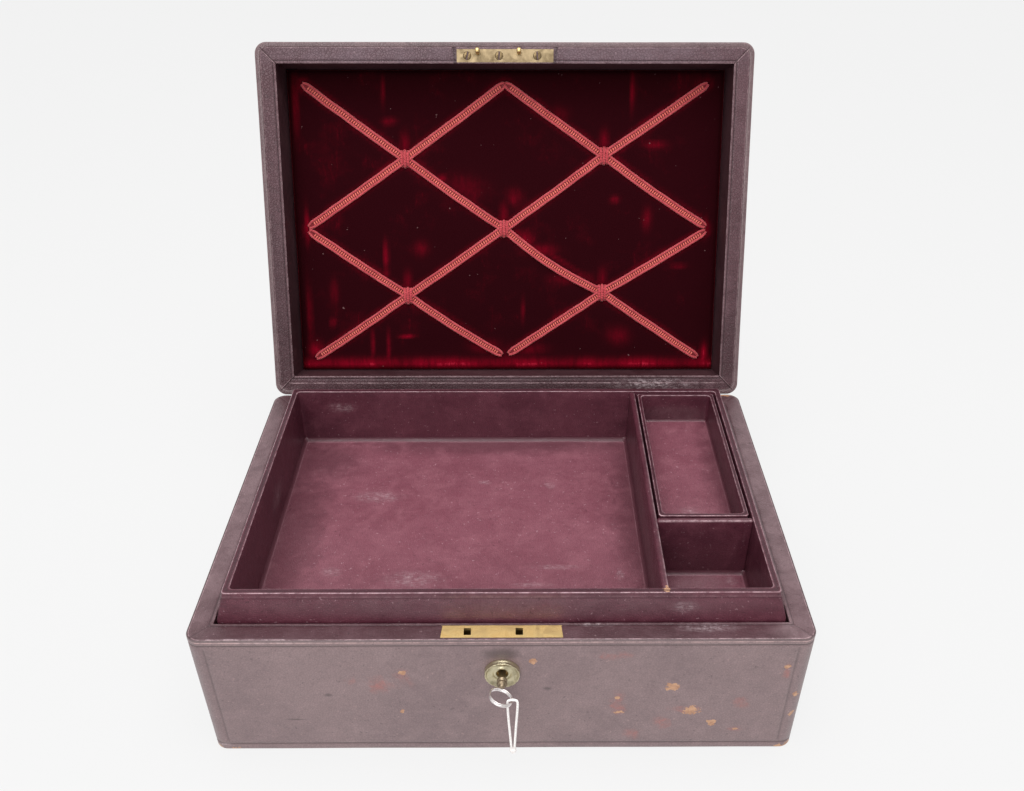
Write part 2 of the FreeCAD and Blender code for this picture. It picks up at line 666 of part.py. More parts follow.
def soft_topped(wall, width, height, edge):
    top = level_at(height)
    return soften(wall, edge, lambda box: top(box) and box.DiagonalLength > 2 * width)


def standing_wall(x0, x1, y0, y1, z0, z1, edge):
    """Upright wall with its two long top edges softened."""
    return soft_topped(block(x0, x1, y0, y1, z0, z1), min(x1 - x0, y1 - y0), z1, edge)


def tray_frame(x0, x1, y0, y1, z0, z1, wall, edge):
    """Front, back, left and right walls of a tray; the sides stand between the front and the back."""
    front = standing_wall(x0, x1, y0, y0 + wall, z0, z1, edge)
    back = standing_wall(x0, x1, y1 - wall, y1, z0, z1, edge)
    left = standing_wall(x0, x0 + wall, y0 + wall, y1 - wall, z0, z1, edge)
    right = standing_wall(x1 - wall, x1, y0 + wall, y1 - wall, z0, z1, edge)
    return front, back, left, right


def leaning_bar(half, lean, place, along):
    """Bar the tray's height, upright below the rim of the case and leaning in on both sides above it."""
    right = [(half, TRAY_BASE), (half, BASE_HEIGHT), (half - lean, TRAY_TOP)]
    points = [place(x, z) for x, z in right] + [place(-x, z) for x, z in reversed(right)]
    return Part.Face(Part.makePolygon(points + points[:1])).extrude(along)


def make_tray():
    x = TRAY_W / 2
    y = TRAY_D / 2
    in_x = x - TRAY_SIDE_LEAN - TRAY_WALL
    in_y = y - TRAY_END_LEAN - TRAY_WALL
    body = leaning_bar(x, TRAY_SIDE_LEAN, lambda a, z: V(a, -y, z), V(0, TRAY_D, 0))
    body = body.common(leaning_bar(y, TRAY_END_LEAN, lambda a, z: V(-x, a, z), V(TRAY_W, 0, 0)))
    spaces = {"front": (-x, x, -y, -in_y), "back": (-x, x, in_y, y),
              "left": (-x, -in_x, -in_y, in_y), "right": (in_x, x, -in_y, in_y)}
    for name, space in spaces.items():
        wall = body.common(block(*space, TRAY_BASE, TRAY_TOP))
        save("tray_" + name + "_wall", soft_topped(wall, TRAY_WALL, TRAY_TOP, TRAY_EDGE))
    save("tray_bottom", block(-in_x, in_x, -in_y, in_y, TRAY_BASE, TRAY_BASE + TRAY_BOARD))
    top = TRAY_TOP - PARTITION_DROP
    floor = TRAY_FLOOR - LEATHER
    long_x0 = LONG_PARTITION_X - PARTITION / 2
    long_x1 = LONG_PARTITION_X + PARTITION / 2
    cross_y0 = CROSS_PARTITION_Y - PARTITION / 2
    cross_y1 = CROSS_PARTITION_Y + PARTITION / 2
    save("long_partition", standing_wall(long_x0, long_x1, -in_y, in_y, floor, top, TRAY_EDGE))
    save("cross_partition", standing_wall(long_x1, in_x, cross_y0, cross_y1, floor, top, TRAY_EDGE))
    large = block(-in_x, long_x0, -in_y, in_y, floor, TRAY_FLOOR)
    front_well = block(long_x1, in_x, -in_y, cross_y0, floor, TRAY_FLOOR)
    back_well = block(long_x1, in_x, cross_y1, in_y, floor, TRAY_FLOOR)
    save("tray_floor_lining", large, front_well, back_well)
    make_small_tray(long_x1, in_x, cross_y1, in_y)


def make_small_tray(x0, x1, y0, y1):
    """Loose tray in the back right well, standing on two rests along the well's sides."""
    top = TRAY_TOP - SMALL_DROP
    floor = top - SMALL_DEPTH
    under = floor - LEATHER - SMALL_BOARD
    rest_top = under - SEAT_GAP
    left = block(x0, x0 + SMALL_REST, y0, y1, TRAY_FLOOR, rest_top)
    right = block(x1 - SMALL_REST, x1, y0, y1, TRAY_FLOOR, rest_top)
    save("small_tray_rests", left, right)
    ends = (x0 + SMALL_GAP, x1 - SMALL_GAP, y0 + SMALL_GAP, y1 - SMALL_GAP)
    front, back, left, right = tray_frame(*ends, under, top, SMALL_WALL, TRAY_EDGE * SMALL_WALL / TRAY_WALL)
    save("small_tray_ends", front, back)
    save("small_tray_sides", left, right)
    a, b, c, d = (ends[0] + SMALL_WALL, ends[1] - SMALL_WALL, ends[2] + SMALL_WALL, ends[3] - SMALL_WALL)
    save("small_tray_bottom", block(a, b, c, d, under, under + SMALL_BOARD))
    save("small_tray_lining", block(a, b, c, d, under + SMALL_BOARD, floor))


os.makedirs("parts", exist_ok=True)
make_base()
make_lid()
make_hinges()
make_link()
make_lock()
make_key()
make_string()
make_tray()
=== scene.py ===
import json
from math import atan2, cos, degrees, exp, hypot, pi, radians, sin, sqrt, tan
import bpy
import bmesh
from mathutils import Matrix, Vector, noise


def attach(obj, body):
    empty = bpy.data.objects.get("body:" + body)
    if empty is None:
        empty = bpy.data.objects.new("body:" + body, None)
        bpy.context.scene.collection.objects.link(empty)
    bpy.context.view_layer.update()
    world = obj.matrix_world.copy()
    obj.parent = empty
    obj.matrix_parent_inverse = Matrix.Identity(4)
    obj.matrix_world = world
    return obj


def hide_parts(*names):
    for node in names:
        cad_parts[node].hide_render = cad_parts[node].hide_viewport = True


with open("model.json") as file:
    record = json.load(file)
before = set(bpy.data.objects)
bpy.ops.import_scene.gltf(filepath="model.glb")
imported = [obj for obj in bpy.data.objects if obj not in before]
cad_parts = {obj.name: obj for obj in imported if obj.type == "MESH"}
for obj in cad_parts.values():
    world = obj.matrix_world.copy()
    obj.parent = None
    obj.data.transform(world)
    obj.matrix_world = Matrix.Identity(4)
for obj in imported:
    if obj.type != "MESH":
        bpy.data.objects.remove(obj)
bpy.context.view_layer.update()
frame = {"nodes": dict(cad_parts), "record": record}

MM = 0.001


def vec(*parts):
    return Vector(parts)


# Sizes of the case in millimetres, in the frame of the CAD model
W, D, H = 300, 214, 81
LID_H, GAP, OPEN = 37, 0.3, 112
CORNER = 7
RIM = 11.5
Z0, Z1 = H + GAP, H + GAP + LID_H
VELVET_Z = Z1 - 11
CEILING_Z = Z1 - 6
HINGE = vec(0, D / 2, H + GAP / 2) * MM
OPENED = (Matrix.Translation(HINGE) @ Matrix.Rotation(radians(OPEN), 4, vec(-1, 0, 0))
          @ Matrix.Translation(-HINGE))
FRONT = -D / 2
KEY_Z = 59.5
HINGE_X, HINGE_HALF = 85, 20.3
# Rims: half length and edges of the lock plate's opening, joints beside the link plate, line along the lid's
# hinge side, lip of the lid's rim past the case's
PLATE, PLATE_Y, PATCH, LID_LINE, LID_LIP = 29.2, (1.8, 9.8), 31.2, 7.6, 0.7
# Covering: turn on to the underside and the lid's top, tooled lines, hole for the escutcheon
COVER_TURN, TOP_LINE, FOOT_LINE, LID_EDGE_LINE, ROSE_HOLE = 12, 77.3, 4.7, 4, 6.9
# Upright tooled lines beside the corners: before, on and after the line
LINES_X, LINES_Y = (140.8, 141.6, 142.3), (97.8, 98.6, 99.3)
# Tray: foot, underside, floor, top, lean, wall; its partitions; its inside; sizes of the small tray
TRAY_FOOT, TRAY_LOW, TRAY_FLOOR, TRAY_TOP, TRAY_LEAN, TRAY_WALL = (274.6, 188.6), 54.5, 58.5, 96, 3.83, 3.2
LONG_X, CROSS_Y, PARTITION_Z = (76.9, 80.3), (-38, -34.6), (57, 95.7)
IN_X, IN_Y = 130.3, 87
SMALL_X, SMALL_Y, SMALL_FLOOR, SMALL_TOP, SMALL_WALL = (81.7, 128.9), (-33.2, 85.6), 76, 95.4, 2.2


def opened(x, y, z):
    """A point of the closed lid, in millimetres, where it is with the lid open."""
    return OPENED @ (vec(x, y, z) * MM) / MM


def add_object(name, data):
    made = bpy.data.objects.new(name, data)
    bpy.context.scene.collection.objects.link(made)
    return made


# Camera, at the photograph's place

def add_camera():
    wide, high = 1024, 791
    focal, middle_x, middle_y = 958.83, 528.98, 450.51
    pitch, yaw, roll = (radians(a) for a in (36.0036, 0.4760, 0.1736))
    data = bpy.data.cameras.new("camera")
    data.sensor_fit = "HORIZONTAL"
    data.sensor_width = 36
    data.lens = focal / wide * data.sensor_width
    data.shift_x = (wide / 2 - middle_x) / wide
    data.shift_y = (middle_y - high / 2) / wide
    data.clip_start = 0.01
    camera = add_object("camera", data)
    tilt = Matrix.Rotation(pi / 2 - pitch, 4, "X") @ Matrix.Rotation(roll, 4, "Z")
    place = Matrix.Translation(vec(10.01, -419.56, 418.67) * MM)
    camera.matrix_world = place @ Matrix.Rotation(-yaw, 4, "Z") @ tilt
    bpy.context.scene.camera = camera


# Material building

class Nodes:
    """Short calls for building the node tree of one material or of the world."""

    def __init__(self, name, kind="materials", shader="Principled BSDF"):
        self.owner = getattr(bpy.data, kind).new(name)
        self.owner.use_nodes = True
        self.tree = self.owner.node_tree
        self.shader = self.tree.nodes[shader]

    def put(self, socket, value):
        if isinstance(value, bpy.types.NodeSocket):
            self.tree.links.new(value, socket)
        elif value is not None:
            socket.default_value = value

    def node(self, kind, inputs=None, **settings):
        made = self.tree.nodes.new(kind)
        for key, value in settings.items():
            setattr(made, key, value)
        for key, value in (inputs or {}).items():
            self.put(made.inputs[key], value)
        return made

    def coords(self, scale=(1, 1, 1), turn=(0, 0, 0), shift=(0, 0, 0)):
        at = self.node("ShaderNodeTexCoord").outputs["Object"]
        inputs = {"Vector": at, "Scale": scale, "Rotation": turn, "Location": shift}
        return self.node("ShaderNodeMapping", inputs).outputs["Vector"]

    def noise(self, vector, scale, detail=4, rough=0.55, distort=0):
        inputs = {"Vector": vector, "Scale": scale, "Detail": detail}
        inputs |= {"Roughness": rough, "Distortion": distort}
        return self.node("ShaderNodeTexNoise", inputs).outputs["Fac"]

    def cells(self, vector, scale):
        inputs = {"Vector": vector, "Scale": scale}
        return self.node("ShaderNodeTexVoronoi", inputs, feature="DISTANCE_TO_EDGE").outputs["Distance"]

    def ramp(self, value, low, high, to_low=0, to_high=1):
        inputs = {"Value": value, "From Min": low, "From Max": high, "To Min": to_low, "To Max": to_high}
        return self.node("ShaderNodeMapRange", inputs, interpolation_type="SMOOTHSTEP").outputs["Result"]

    def math(self, operation, a, b=None, clamp=False):
        return self.node("ShaderNodeMath", {0: a, 1: b}, operation=operation, use_clamp=clamp).outputs[0]

    def times(self, a, b):
        return self.math("MULTIPLY", a, b)

    def mix(self, factor, a, b):
        return self.node("ShaderNodeMix", {0: factor, 6: a, 7: b}, data_type="RGBA").outputs[2]

    def over(self, factor, tone):
        self.colour = self.mix(factor, self.colour, tone)

    def attribute(self, name):
        return self.node("ShaderNodeAttribute", attribute_name=name).outputs["Fac"]

    def bump(self, height, strength, distance, under=None):
        inputs = {"Strength": strength, "Distance": distance, "Height": height, "Normal": under}
        return self.node("ShaderNodeBump", inputs).outputs["Normal"]

    def spots(self, places, ragged, soft):
        """Largest of several marks, each a centre and three widths in millimetres."""
        found = None
        for place, widths in places:
            scale = tuple(2000 / width for width in widths)
            shift = tuple(-2 * at / width for at, width in zip(place, widths))
            spot = self.coords(scale, shift=shift)
            length = self.node("ShaderNodeVectorMath", {0: spot}, operation="LENGTH")
            mark = self.ramp(self.math("ADD", length.outputs["Value"], ragged), 1 - soft, 1, 1, 0)
            found = mark if found is None else self.math("MAXIMUM", found, mark)
        return found

    def set(self, **values):
        for key, value in values.items():
            self.put(self.shader.inputs[key.replace("_", " ")], value)


def rgb(red, green, blue):
    """A display colour, 0 to 255, as linear light."""
    def linear(value):
        value /= 255
        return value / 12.92 if value <= 0.04045 else ((value + 0.055) / 1.055) ** 2.4
    return (linear(red), linear(green), linear(blue), 1)


def leather(name, dark, mid, light, worn, grain=900, depth=0.00018, grit=0.25, gloss=0.40, shine=0.15,
            dust=0.3, chips=(), reds=(), chalk=(), white=0.36, stains_and_shade=(), stain=0.5, faded_and_lit=(), fade_and_light_tone=None):
    """Old glazed leather: mottled, grained, rubbed or pressed by the mark attribute, with its scuffs; the
    mark attribute and the spot lists also paint shade, highlights and reflections where given.
    """
    n = Nodes(name)
    at = n.coords()
    mottle = n.noise(at, 95, 6, 0.62, 0.4)
    streak = n.noise(n.coords((170, 420, 420)), 1, 5, 0.7, 0.3)
    rub = n.noise(at, 260, 5, 0.7, 0.5)
    brush = n.noise(n.coords((300, 1100, 800), (0, 0, 0.5)), 1, 4, 0.7)
    n.colour = n.mix(n.ramp(n.noise(at, 16, 5, 0.6), 0.36, 0.64), dark, mid)
    n.over(n.ramp(mottle, 0.42, 0.72, 0, 0.6), light)
    # Faded patches, and painted light or reflection where a list holds lit places: the lid rim's top and the
    # tray walls
    if faded_and_lit:
        n.over(n.times(n.spots(faded_and_lit, 0, 0.6), n.ramp(mottle, 0.3, 0.7, 0.45, 1)), fade_and_light_tone)
    n.over(n.ramp(streak, 0.54, 0.68, 0, 0.3), tuple(c * 0.7 for c in dark[:3]) + (1,))
    n.over(n.ramp(streak, 0.46, 0.34, 0, 0.3), light)
    pebbles = n.cells(at, grain)
    creases = n.ramp(pebbles, 0, 0.2)
    deep = tuple(c * 0.4 for c in dark[:3]) + (1,)
    n.over(n.times(n.math("SUBTRACT", 1, creases), grit), deep)
    n.over(n.ramp(pebbles, 0.2, 0.5, 0, grit), light)
    specks = n.noise(at, 640, 2, 0.5)
    n.over(n.ramp(specks, 0.33, 0.26, 0, 0.6), deep)
    flecks = n.ramp(specks, 0.68, 0.74)
    smears = n.times(n.ramp(brush, 0.62, 0.76), n.ramp(n.noise(at, 22, 3, 0.5), 0.48, 0.66))
    n.over(n.times(n.math("MAXIMUM", flecks, smears), dust), worn)
    # Real stains, and painted shade where a list holds shaded places: the floors by the walls, the lid rim's
    # lower parts and the well's back wall
    if stains_and_shade:
        soft = n.ramp(mottle, 0.3, 0.7, -0.15, 0.15)
        n.over(n.times(n.spots(stains_and_shade, soft, 0.8), stain), deep)
    if reds:
        soft, broken = n.ramp(mottle, 0.3, 0.7, -0.5, 0.5), n.ramp(rub, 0.36, 0.66, 0.1, 0.5)
        n.over(n.times(n.spots(reds, soft, 0.9), broken), rgb(164, 90, 80))
    if chips:
        ragged = n.ramp(n.noise(at, 330, 4, 0.65), 0.3, 0.7, -0.7, 0.7)
        bare = n.mix(n.ramp(rub, 0.4, 0.6), rgb(186, 142, 110), rgb(158, 114, 86))
        n.over(n.spots(chips, ragged, 0.15), bare)
    if chalk:
        broken = n.times(n.ramp(brush, 0.4, 0.66, 0.12, 1), n.ramp(rub, 0.38, 0.62, 0.1, white))
        n.over(n.times(n.spots(chalk, 0, 0.9), broken), rgb(206, 188, 192))
    # Negative marks press in tooled lines and dark joints and paint shade in the floor coves; positive marks
    # rub edges lighter and paint highlight and reflection lines
    mark = n.attribute("mark")
    pressed = n.math("MULTIPLY", mark, -0.85, clamp=True)
    n.over(pressed, deep)
    edge = n.math("MULTIPLY", mark, n.ramp(rub, 0.38, 0.62, 0.25, 1), clamp=True)
    n.over(edge, worn)
    rough = n.math("ADD", n.ramp(mottle, 0.3, 0.75, gloss - 0.06, gloss + 0.12), n.times(edge, 0.1))
    wave = n.math("ADD", n.times(creases, 0.7), n.times(n.noise(at, grain * 0.5, 3), 0.6))
    n.set(Base_Color=n.colour, Roughness=rough, Normal=n.bump(wave, 0.5, depth, n.bump(mottle, 0.2, 0.0005)))
    n.set(Specular_IOR_Level=0.2 + 2 * shine, Coat_Weight=shine, Coat_Roughness=0.25)
    return n.owner


def metal(name, bright, tarnish, gloss, stain=0.5, brushed=(1, 1, 1)):
    """Old handled metal: tarnish in patches, fine scratches, small pits."""
    n = Nodes(name)
    at = n.coords()
    patch = n.noise(at, 160, 6, 0.62, 0.6)
    scratch = n.noise(n.coords(tuple(s * 900 for s in brushed)), 1, 3, 0.6)
    pits = n.ramp(n.noise(at, 1500, 2, 0.5), 0.66, 0.74)
    n.colour = n.mix(n.times(n.ramp(patch, 0.46, 0.7), stain), bright, tarnish)
    n.over(n.times(pits, 0.5), tarnish)
    rough = n.math("ADD", n.ramp(patch, 0.3, 0.75, gloss, gloss + 0.25), n.times(scratch, 0.08))
    n.set(Base_Color=n.colour, Metallic=1, Roughness=rough, Normal=n.bump(scratch, 0.22, 0.00006))
    return n.owner


def velvet():
    """Dark red pile, crushed lighter in faint upright streaks and where the crush attribute says; that
    attribute also holds a painted sheen along the rolled lower edge.
    """
    n = Nodes("velvet_pile")
    at = n.coords()
    mottle = n.noise(at, 40, 6, 0.66)
    streak = n.noise(n.coords((420, 90, 90)), 1, 4, 0.66, 0.4)
    fine = n.noise(at, 1500, 3, 0.6)
    broken = n.times(n.ramp(streak, 0.3, 0.6, 0.6, 1), n.ramp(mottle, 0.3, 0.6, 0.5, 1))
    crush_and_sheen = n.times(n.attribute("crush_and_sheen"), broken)
    faint = n.times(n.ramp(streak, 0.5, 0.72, 0.15, 0.6), n.ramp(mottle, 0.52, 0.74, 0, 0.3))
    amount = n.math("ADD", n.times(crush_and_sheen, 0.9), faint, clamp=True)
    n.colour = n.mix(amount, rgb(37, 5, 10), rgb(146, 4, 32))
    # Brightest red where the crushing and the painted sheen at the lower edge are strongest
    n.over(n.ramp(crush_and_sheen, 0.6, 1, 0, 0.75), rgb(202, 48, 70))
    lint = n.ramp(n.noise(at, 420, 1, 0.4), 0.80, 0.815)
    n.over(n.times(lint, 0.2), rgb(190, 150, 150))
    pile = n.math("ADD", n.times(fine, 0.5), mottle)
    n.set(Base_Color=n.colour, Roughness=0.95, Normal=n.bump(pile, 0.5, 0.0006))
    n.set(Specular_IOR_Level=0.02, Sheen_Weight=0.16, Sheen_Roughness=0.35, Sheen_Tint=(0.62, 0.02, 0.05, 1))
    return n.owner


def thread(name, dark, light):
    """Twisted silk or cotton: fine fibre streaks and colour change along the yarn."""
    n = Nodes(name)
    at = n.coords()
    fibre = n.noise(at, 1900, 3, 0.6)
    n.colour = n.mix(n.ramp(fibre, 0.3, 0.7), dark, light)
    n.over(n.ramp(n.noise(at, 130, 4, 0.6), 0.45, 0.7, 0, 0.5), dark)
    n.set(Base_Color=n.colour, Roughness=0.72, Normal=n.bump(fibre, 0.5, 0.00012))
    n.set(Specular_IOR_Level=0.3, Sheen_Weight=0.2, Sheen_Roughness=0.5, Sheen_Tint=(1, 0.85, 0.8, 1))
    return n.owner


def wood(name, dark, light):
    n = Nodes(name)
    rings = n.noise(n.coords((6, 90, 90)), 1, 5, 0.6, 1.4)
    fibre = n.noise(n.coords((40, 900, 900)), 1, 3, 0.6)
    n.colour = n.mix(n.ramp(rings, 0.3, 0.7), dark, light)
    n.over(n.ramp(fibre, 0.5, 0.75, 0, 0.5), dark)
    n.set(Base_Color=n.colour, Roughness=0.75, Normal=n.bump(fibre, 0.3, 0.0001))
    return n.owner


# Mesh building, in millimetres

def piece(name, shape, material, body, nodes, attribute="mark"):
    """Object from points, faces and a value per point; the lid's pieces are given as for a shut lid."""
    points, faces = shape[:2]
    mesh = bpy.data.meshes.new(name)
    spots = [Vector(point) * MM for point in points]
    if body == "lid":
        spots = [OPENED @ spot for spot in spots]
    mesh.from_pydata(spots, [], faces)
    if len(shape) > 2:
        mesh.attributes.new(attribute, "FLOAT", "POINT").data.foreach_set("value", shape[2])
    work = bmesh.new()
    work.from_mesh(mesh)
    bmesh.ops.recalc_face_normals(work, faces=work.faces)
    work.to_mesh(mesh)
    work.free()
    mesh.shade_smooth()
    mesh.materials.append(material)
    made = add_object(name, mesh)
    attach(made, body)
    if nodes:
        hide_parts(*nodes)
    return made


def join(*parts):
    points, faces, marks = [], [], []
    for part in parts:
        start = len(points)
        points += part[0]
        faces += [[v + start for v in face] for face in part[1]]
        marks += part[2] if len(part) > 2 else [0] * len(part[0])
    return points, faces, marks


def wander(point, size, amount):
    """Slow unevenness of hand work, the same on each run."""
    at = Vector(point) / size
    shifts = (vec(0, 0, 0), vec(31, 7, 3), vec(5, 57, 19))
    return amount * Vector([noise.noise(at + shift) for shift in shifts])


def steps(low, high, radius, step):
    """Places along one side of a soft box: close together in the rounded ends, even between them."""
    trim = radius * (1 - tan(radians(22.5)))
    count = max(1, round((high - low - 2 * radius) / step))
    inner = [low + radius + (high - low - 2 * radius) * i / count for i in range(count + 1)]
    return [low, low + trim] + inner + [high - trim, high]


def soft_box(low, high, radius, step=6, uneven=0.12, rubbed=vec(0, 0, 0)):
    """Box with rounded edges, marked as worn where its top edges face the rubbed direction."""
    axes = [steps(low[k], high[k], radius, step) for k in range(3)]
    index, points, marks, faces = {}, [], [], []

    def place(*cell):
        if cell not in index:
            spot = Vector([axes[a][cell[a]] for a in range(3)])
            core = Vector([min(max(spot[a], low[a] + radius), high[a] - radius) for a in range(3)])
            out = spot - core
            spot = core + out.normalized() * radius
            index[cell] = len(points)
            points.append(spot + wander(spot, 38, uneven))
            marks.append(0.6 * max(0, out.normalized().dot(rubbed)) ** 14 if out.z > 1e-6 else 0)
        return index[cell]

    counts = [len(axis) - 1 for axis in axes]
    for a, b, c in ((0, 1, 2), (1, 2, 0), (2, 0, 1)):
        for end in (0, counts[c]):
            for i in range(counts[a]):
                for j in range(counts[b]):
                    corners = []
                    for di, dj in ((0, 0), (1, 0), (1, 1), (0, 1)):
                        cell = [0, 0, 0]
                        cell[a], cell[b], cell[c] = i + di, j + dj, end
                        corners.append(place(*cell))
                    faces.append(corners)
    return points, faces, marks


def outline(width, depth, radius, xs, ys, around=10, centre=(0, 0)):
    """Points round a rounded rectangle; xs and ys are shares of the half lengths of its sides."""
    rows = []
    for quarter in range(4):
        places, long, wide = (xs, width, depth) if quarter % 2 == 0 else (ys, depth, width)
        half, away = long / 2 - radius, wide / 2
        side = [(place * half, -away) for place in places]
        for i in range(1, around):
            angle = radians(-90 + 90 * i / around)
            side.append((half + radius * cos(angle), radius - away + radius * sin(angle)))
        spin = Matrix.Rotation(radians(90 * quarter), 2)
        rows += [spin @ Vector(spot) + Vector(centre) for spot in side]
    return rows


def run_places(half, step, extra=()):
    """Places along a straight side as shares of its half length, with extra ones in millimetres."""
    count = round(2 * half / step)
    extra = [e for e in extra if abs(e) < half]
    even = [-half + 2 * half * i / count for i in range(count + 1)]
    kept = [p for p in even if all(abs(p - e) > 0.4 * step for e in extra)]
    return [p / half for p in sorted(kept + extra)]


def ring(outer, inner, depth, profile, closed=False, skip=None, uneven=0, press=None):
    """Sweep (inward distance, height, mark) points round two matching outlines that are depth apart."""
    points, marks, faces = [], [], []
    rows, count = len(profile), len(outer)
    for a, b in zip(outer, inner):
        for inward, height, mark in profile:
            if press is not None:
                sunk = press(a, inward, height)
                inward += sunk
                mark = min(mark, -2 * sunk) if sunk > 0.02 else mark
            flat = a + (b - a) * (inward / depth)
            spot = vec(flat.x, flat.y, height)
            points.append(spot + wander(spot, 45, uneven))
            marks.append(mark)
    for i in range(count):
        after = (i + 1) % count
        for j in range(rows if closed else rows - 1):
            over = (j + 1) % rows
            face = [i * rows + j, after * rows + j, after * rows + over, i * rows + over]
            if skip is None or not skip(sum((points[v] for v in face), Vector()) / 4):
                faces.append(face)
    return points, faces, marks


def arc(inward, height, radius, start, end, count, peak, at=45, spread=25):
    """Profile points on an arc, worn most at one angle; 0 degrees points out of the case and 90 up."""
    made = []
    for i in range(count + 1):
        angle = start + (end - start) * i / count
        mark = peak * exp(-((abs(angle) - at) / spread) ** 2)
        turn = radians(angle)
        made.append((inward - radius * cos(turn), height + radius * sin(turn), mark))
    return made


def tube(path, radius, sides, twist=0, depth=0, normal=vec(0, 0, 1)):
    """Tube along a path; twist and depth give it the swellings of plaited yarn."""
    points, faces = [], []
    travelled = 0
    for i, spot in enumerate(path):
        ahead = (path[min(i + 1, len(path) - 1)] - path[max(i - 1, 0)]).normalized()
        travelled += (spot - path[i - 1]).length if i else 0
        across = ahead.cross(normal).normalized()
        over = across.cross(ahead)
        size = radius * (1 + depth * cos(twist * travelled))
        for k in range(sides):
            angle = 2 * pi * k / sides
            points.append(spot + (across * cos(angle) + over * sin(angle)) * size)
    for i in range(len(path) - 1):
        for k in range(sides):
            after = (k + 1) % sides
            faces.append([i * sides + k, i * sides + after, (i + 1) * sides + after, (i + 1) * sides + k])
    faces.append(list(range(sides)))
    faces.append([len(points) - 1 - k for k in range(sides)])
    return points, faces


def lathe(profile, count, turn):
    """Turned shape from (radius, distance) points; turn puts each point on the case."""
    points, faces = [], []
    rows = len(profile)
    for i in range(count):
        angle = 2 * pi * i / count
        points += [turn(radius * cos(angle), radius * sin(angle), distance) for radius, distance in profile]
        after = (i + 1) % count
        for j in range(rows - 1):
            faces.append([i * rows + j, after * rows + j, after * rows + j + 1, i * rows + j + 1])
    return points, faces


# Materials, with the marks on the leather: a centre and three widths

def front_marks(marks):
    return [((x, FRONT, z), (wide, 24, high)) for x, z, wide, high in marks]


def floor_marks(z, high, marks):
    return [((x, y, z), (wide, long, high)) for x, y, wide, long in marks]


CHIPS = front_marks([
    (83.6, 48, 6.6, 5), (94.4, 30.2, 7, 5.4), (105.6, 20.7, 5, 4), (57.8, 28.8, 4.6, 2.4),
    (138, 62.6, 2.6, 2.6), (145.5, 26.8, 3.2, 3), (145.5, 41.3, 4, 3), (14.6, 66.8, 3.2, 3.8),
    (-48.1, 58.6, 3.2, 2.8), (-50.7, 30.2, 2.6, 2.6), (57, 40, 2.2, 2), (119, 15.5, 2.6, 1.8)])
CHIPS += [((143, 106, 80.5), (22, 9, 4)), ((-145, -104, 0.6), (16, 12, 3.2)), ((146, -104, 1), (9, 12, 4))]
REDS = front_marks([
    (80.7, 20.1, 11, 14), (63.9, 11.4, 13, 9), (118.5, 15.1, 12, 6), (118.8, 36.2, 9, 9), (57, 34, 10, 20),
    (90, 31, 24, 7), (138, 58, 5, 14), (-60, 50, 32, 12), (-48, 57, 10, 8), (52, 70, 24, 6)])
STAINS = front_marks([(0, 72, 24, 11), (-86, 42.6, 7, 3.6), (22, 47, 6, 3), (-104, 24, 14, 2)])
OUTER_CHALK = [((-112, FRONT, 79.6), (96, 6, 1.7)), ((-143, FRONT, 4), (12, 8, 4))]
RIM_CHALK = [((45, -97, H), (26, 4, 4)), ((99, -99, H), (40, 8, 5)), ((-118, -106.2, H), (74, 2.4, 3))]
RIM_CHIPS = [((141, 106.3, H), (20, 2.6, 3))]
RIM_FADED = [((s * W / 2, 0, H), (40, 300, 40)) for s in (-1, 1)] + [((W / 2, -102, H), (50, 50, 40))]
LID_CHALK = [(opened(96, 100, Z0), (80, 10, 10))]
# Painted light: the lid rim's top strip, lit from above, made lighter and greyer
LID_TOP_PAINTED_LIGHT = [(opened(0, -102, Z0), (420, 44, 44))]
# Painted shade on the lid rim: its lower bar by the hinge and its sides, darker towards the bottom
LID_SHADE = [(opened(0, 102.5, Z0), (370, 24, 24)), (opened(-150, 50, Z0), (40, 260, 260)),
             (opened(148, 80, Z0), (30, 120, 120))]
TRAY_CHIPS = [((79, -87.7, 95.6), (3, 3.2, 2.4))]
# Lighter, greyer patches: a painted reflection on the tray front wall's outer face and top and on the small
# tray's right and back walls; the third patch lightens the long partition's left face
TRAY_PAINTED_REFLECTION = [
    ((0, -93, 90), (320, 8, 22)), ((126.7, 20, 84), (3, 150, 26)), ((LONG_X[0], -10, 74), (3, 190, 30)),
    ((105, 83.4, 80), (60, 3, 20))]
# Painted shade on the deep well's back wall, the cross partition's front face
TRAY_WELL_SHADE = [((105, CROSS_Y[0], 76), (64, 6, 60))]
TRAY_CHALK = [((88, -92.5, 88), (16, 8, 8)), ((-132, 10, 75), (8, 40, 20)), ((-104, 87, 84), (24, 6, 10))]
FLOOR_FADED = floor_marks(TRAY_FLOOR, 12, [(105, -62, 66, 66)])
FLOOR_CHALK = floor_marks(SMALL_FLOOR, 9, [(104, -12, 22, 26)]) + floor_marks(TRAY_FLOOR, 9, [
    (-49, -42, 46, 19), (28, -32.5, 38, 6), (15, -46.5, 32, 5), (-76, 29, 40, 14), (-13, 43, 11, 6),
    (27, 40, 9, 10), (-94, -36, 16, 10), (63, -39, 6, 14), (122, -44, 10, 10)])
# Painted shade on the floors: shadow bands along the left wall, beside the long partition and by the small
# tray's right wall, and a darker back strip and back-left corner
FLOOR_SHADE = floor_marks(SMALL_FLOOR, 8, [(126, 25, 26, 150)]) + floor_marks(TRAY_FLOOR, 12, [
    (-126, 5, 64, 230), (82, 14, 62, 240), (-116, 66, 70, 76), (0, 84, 300, 34)])

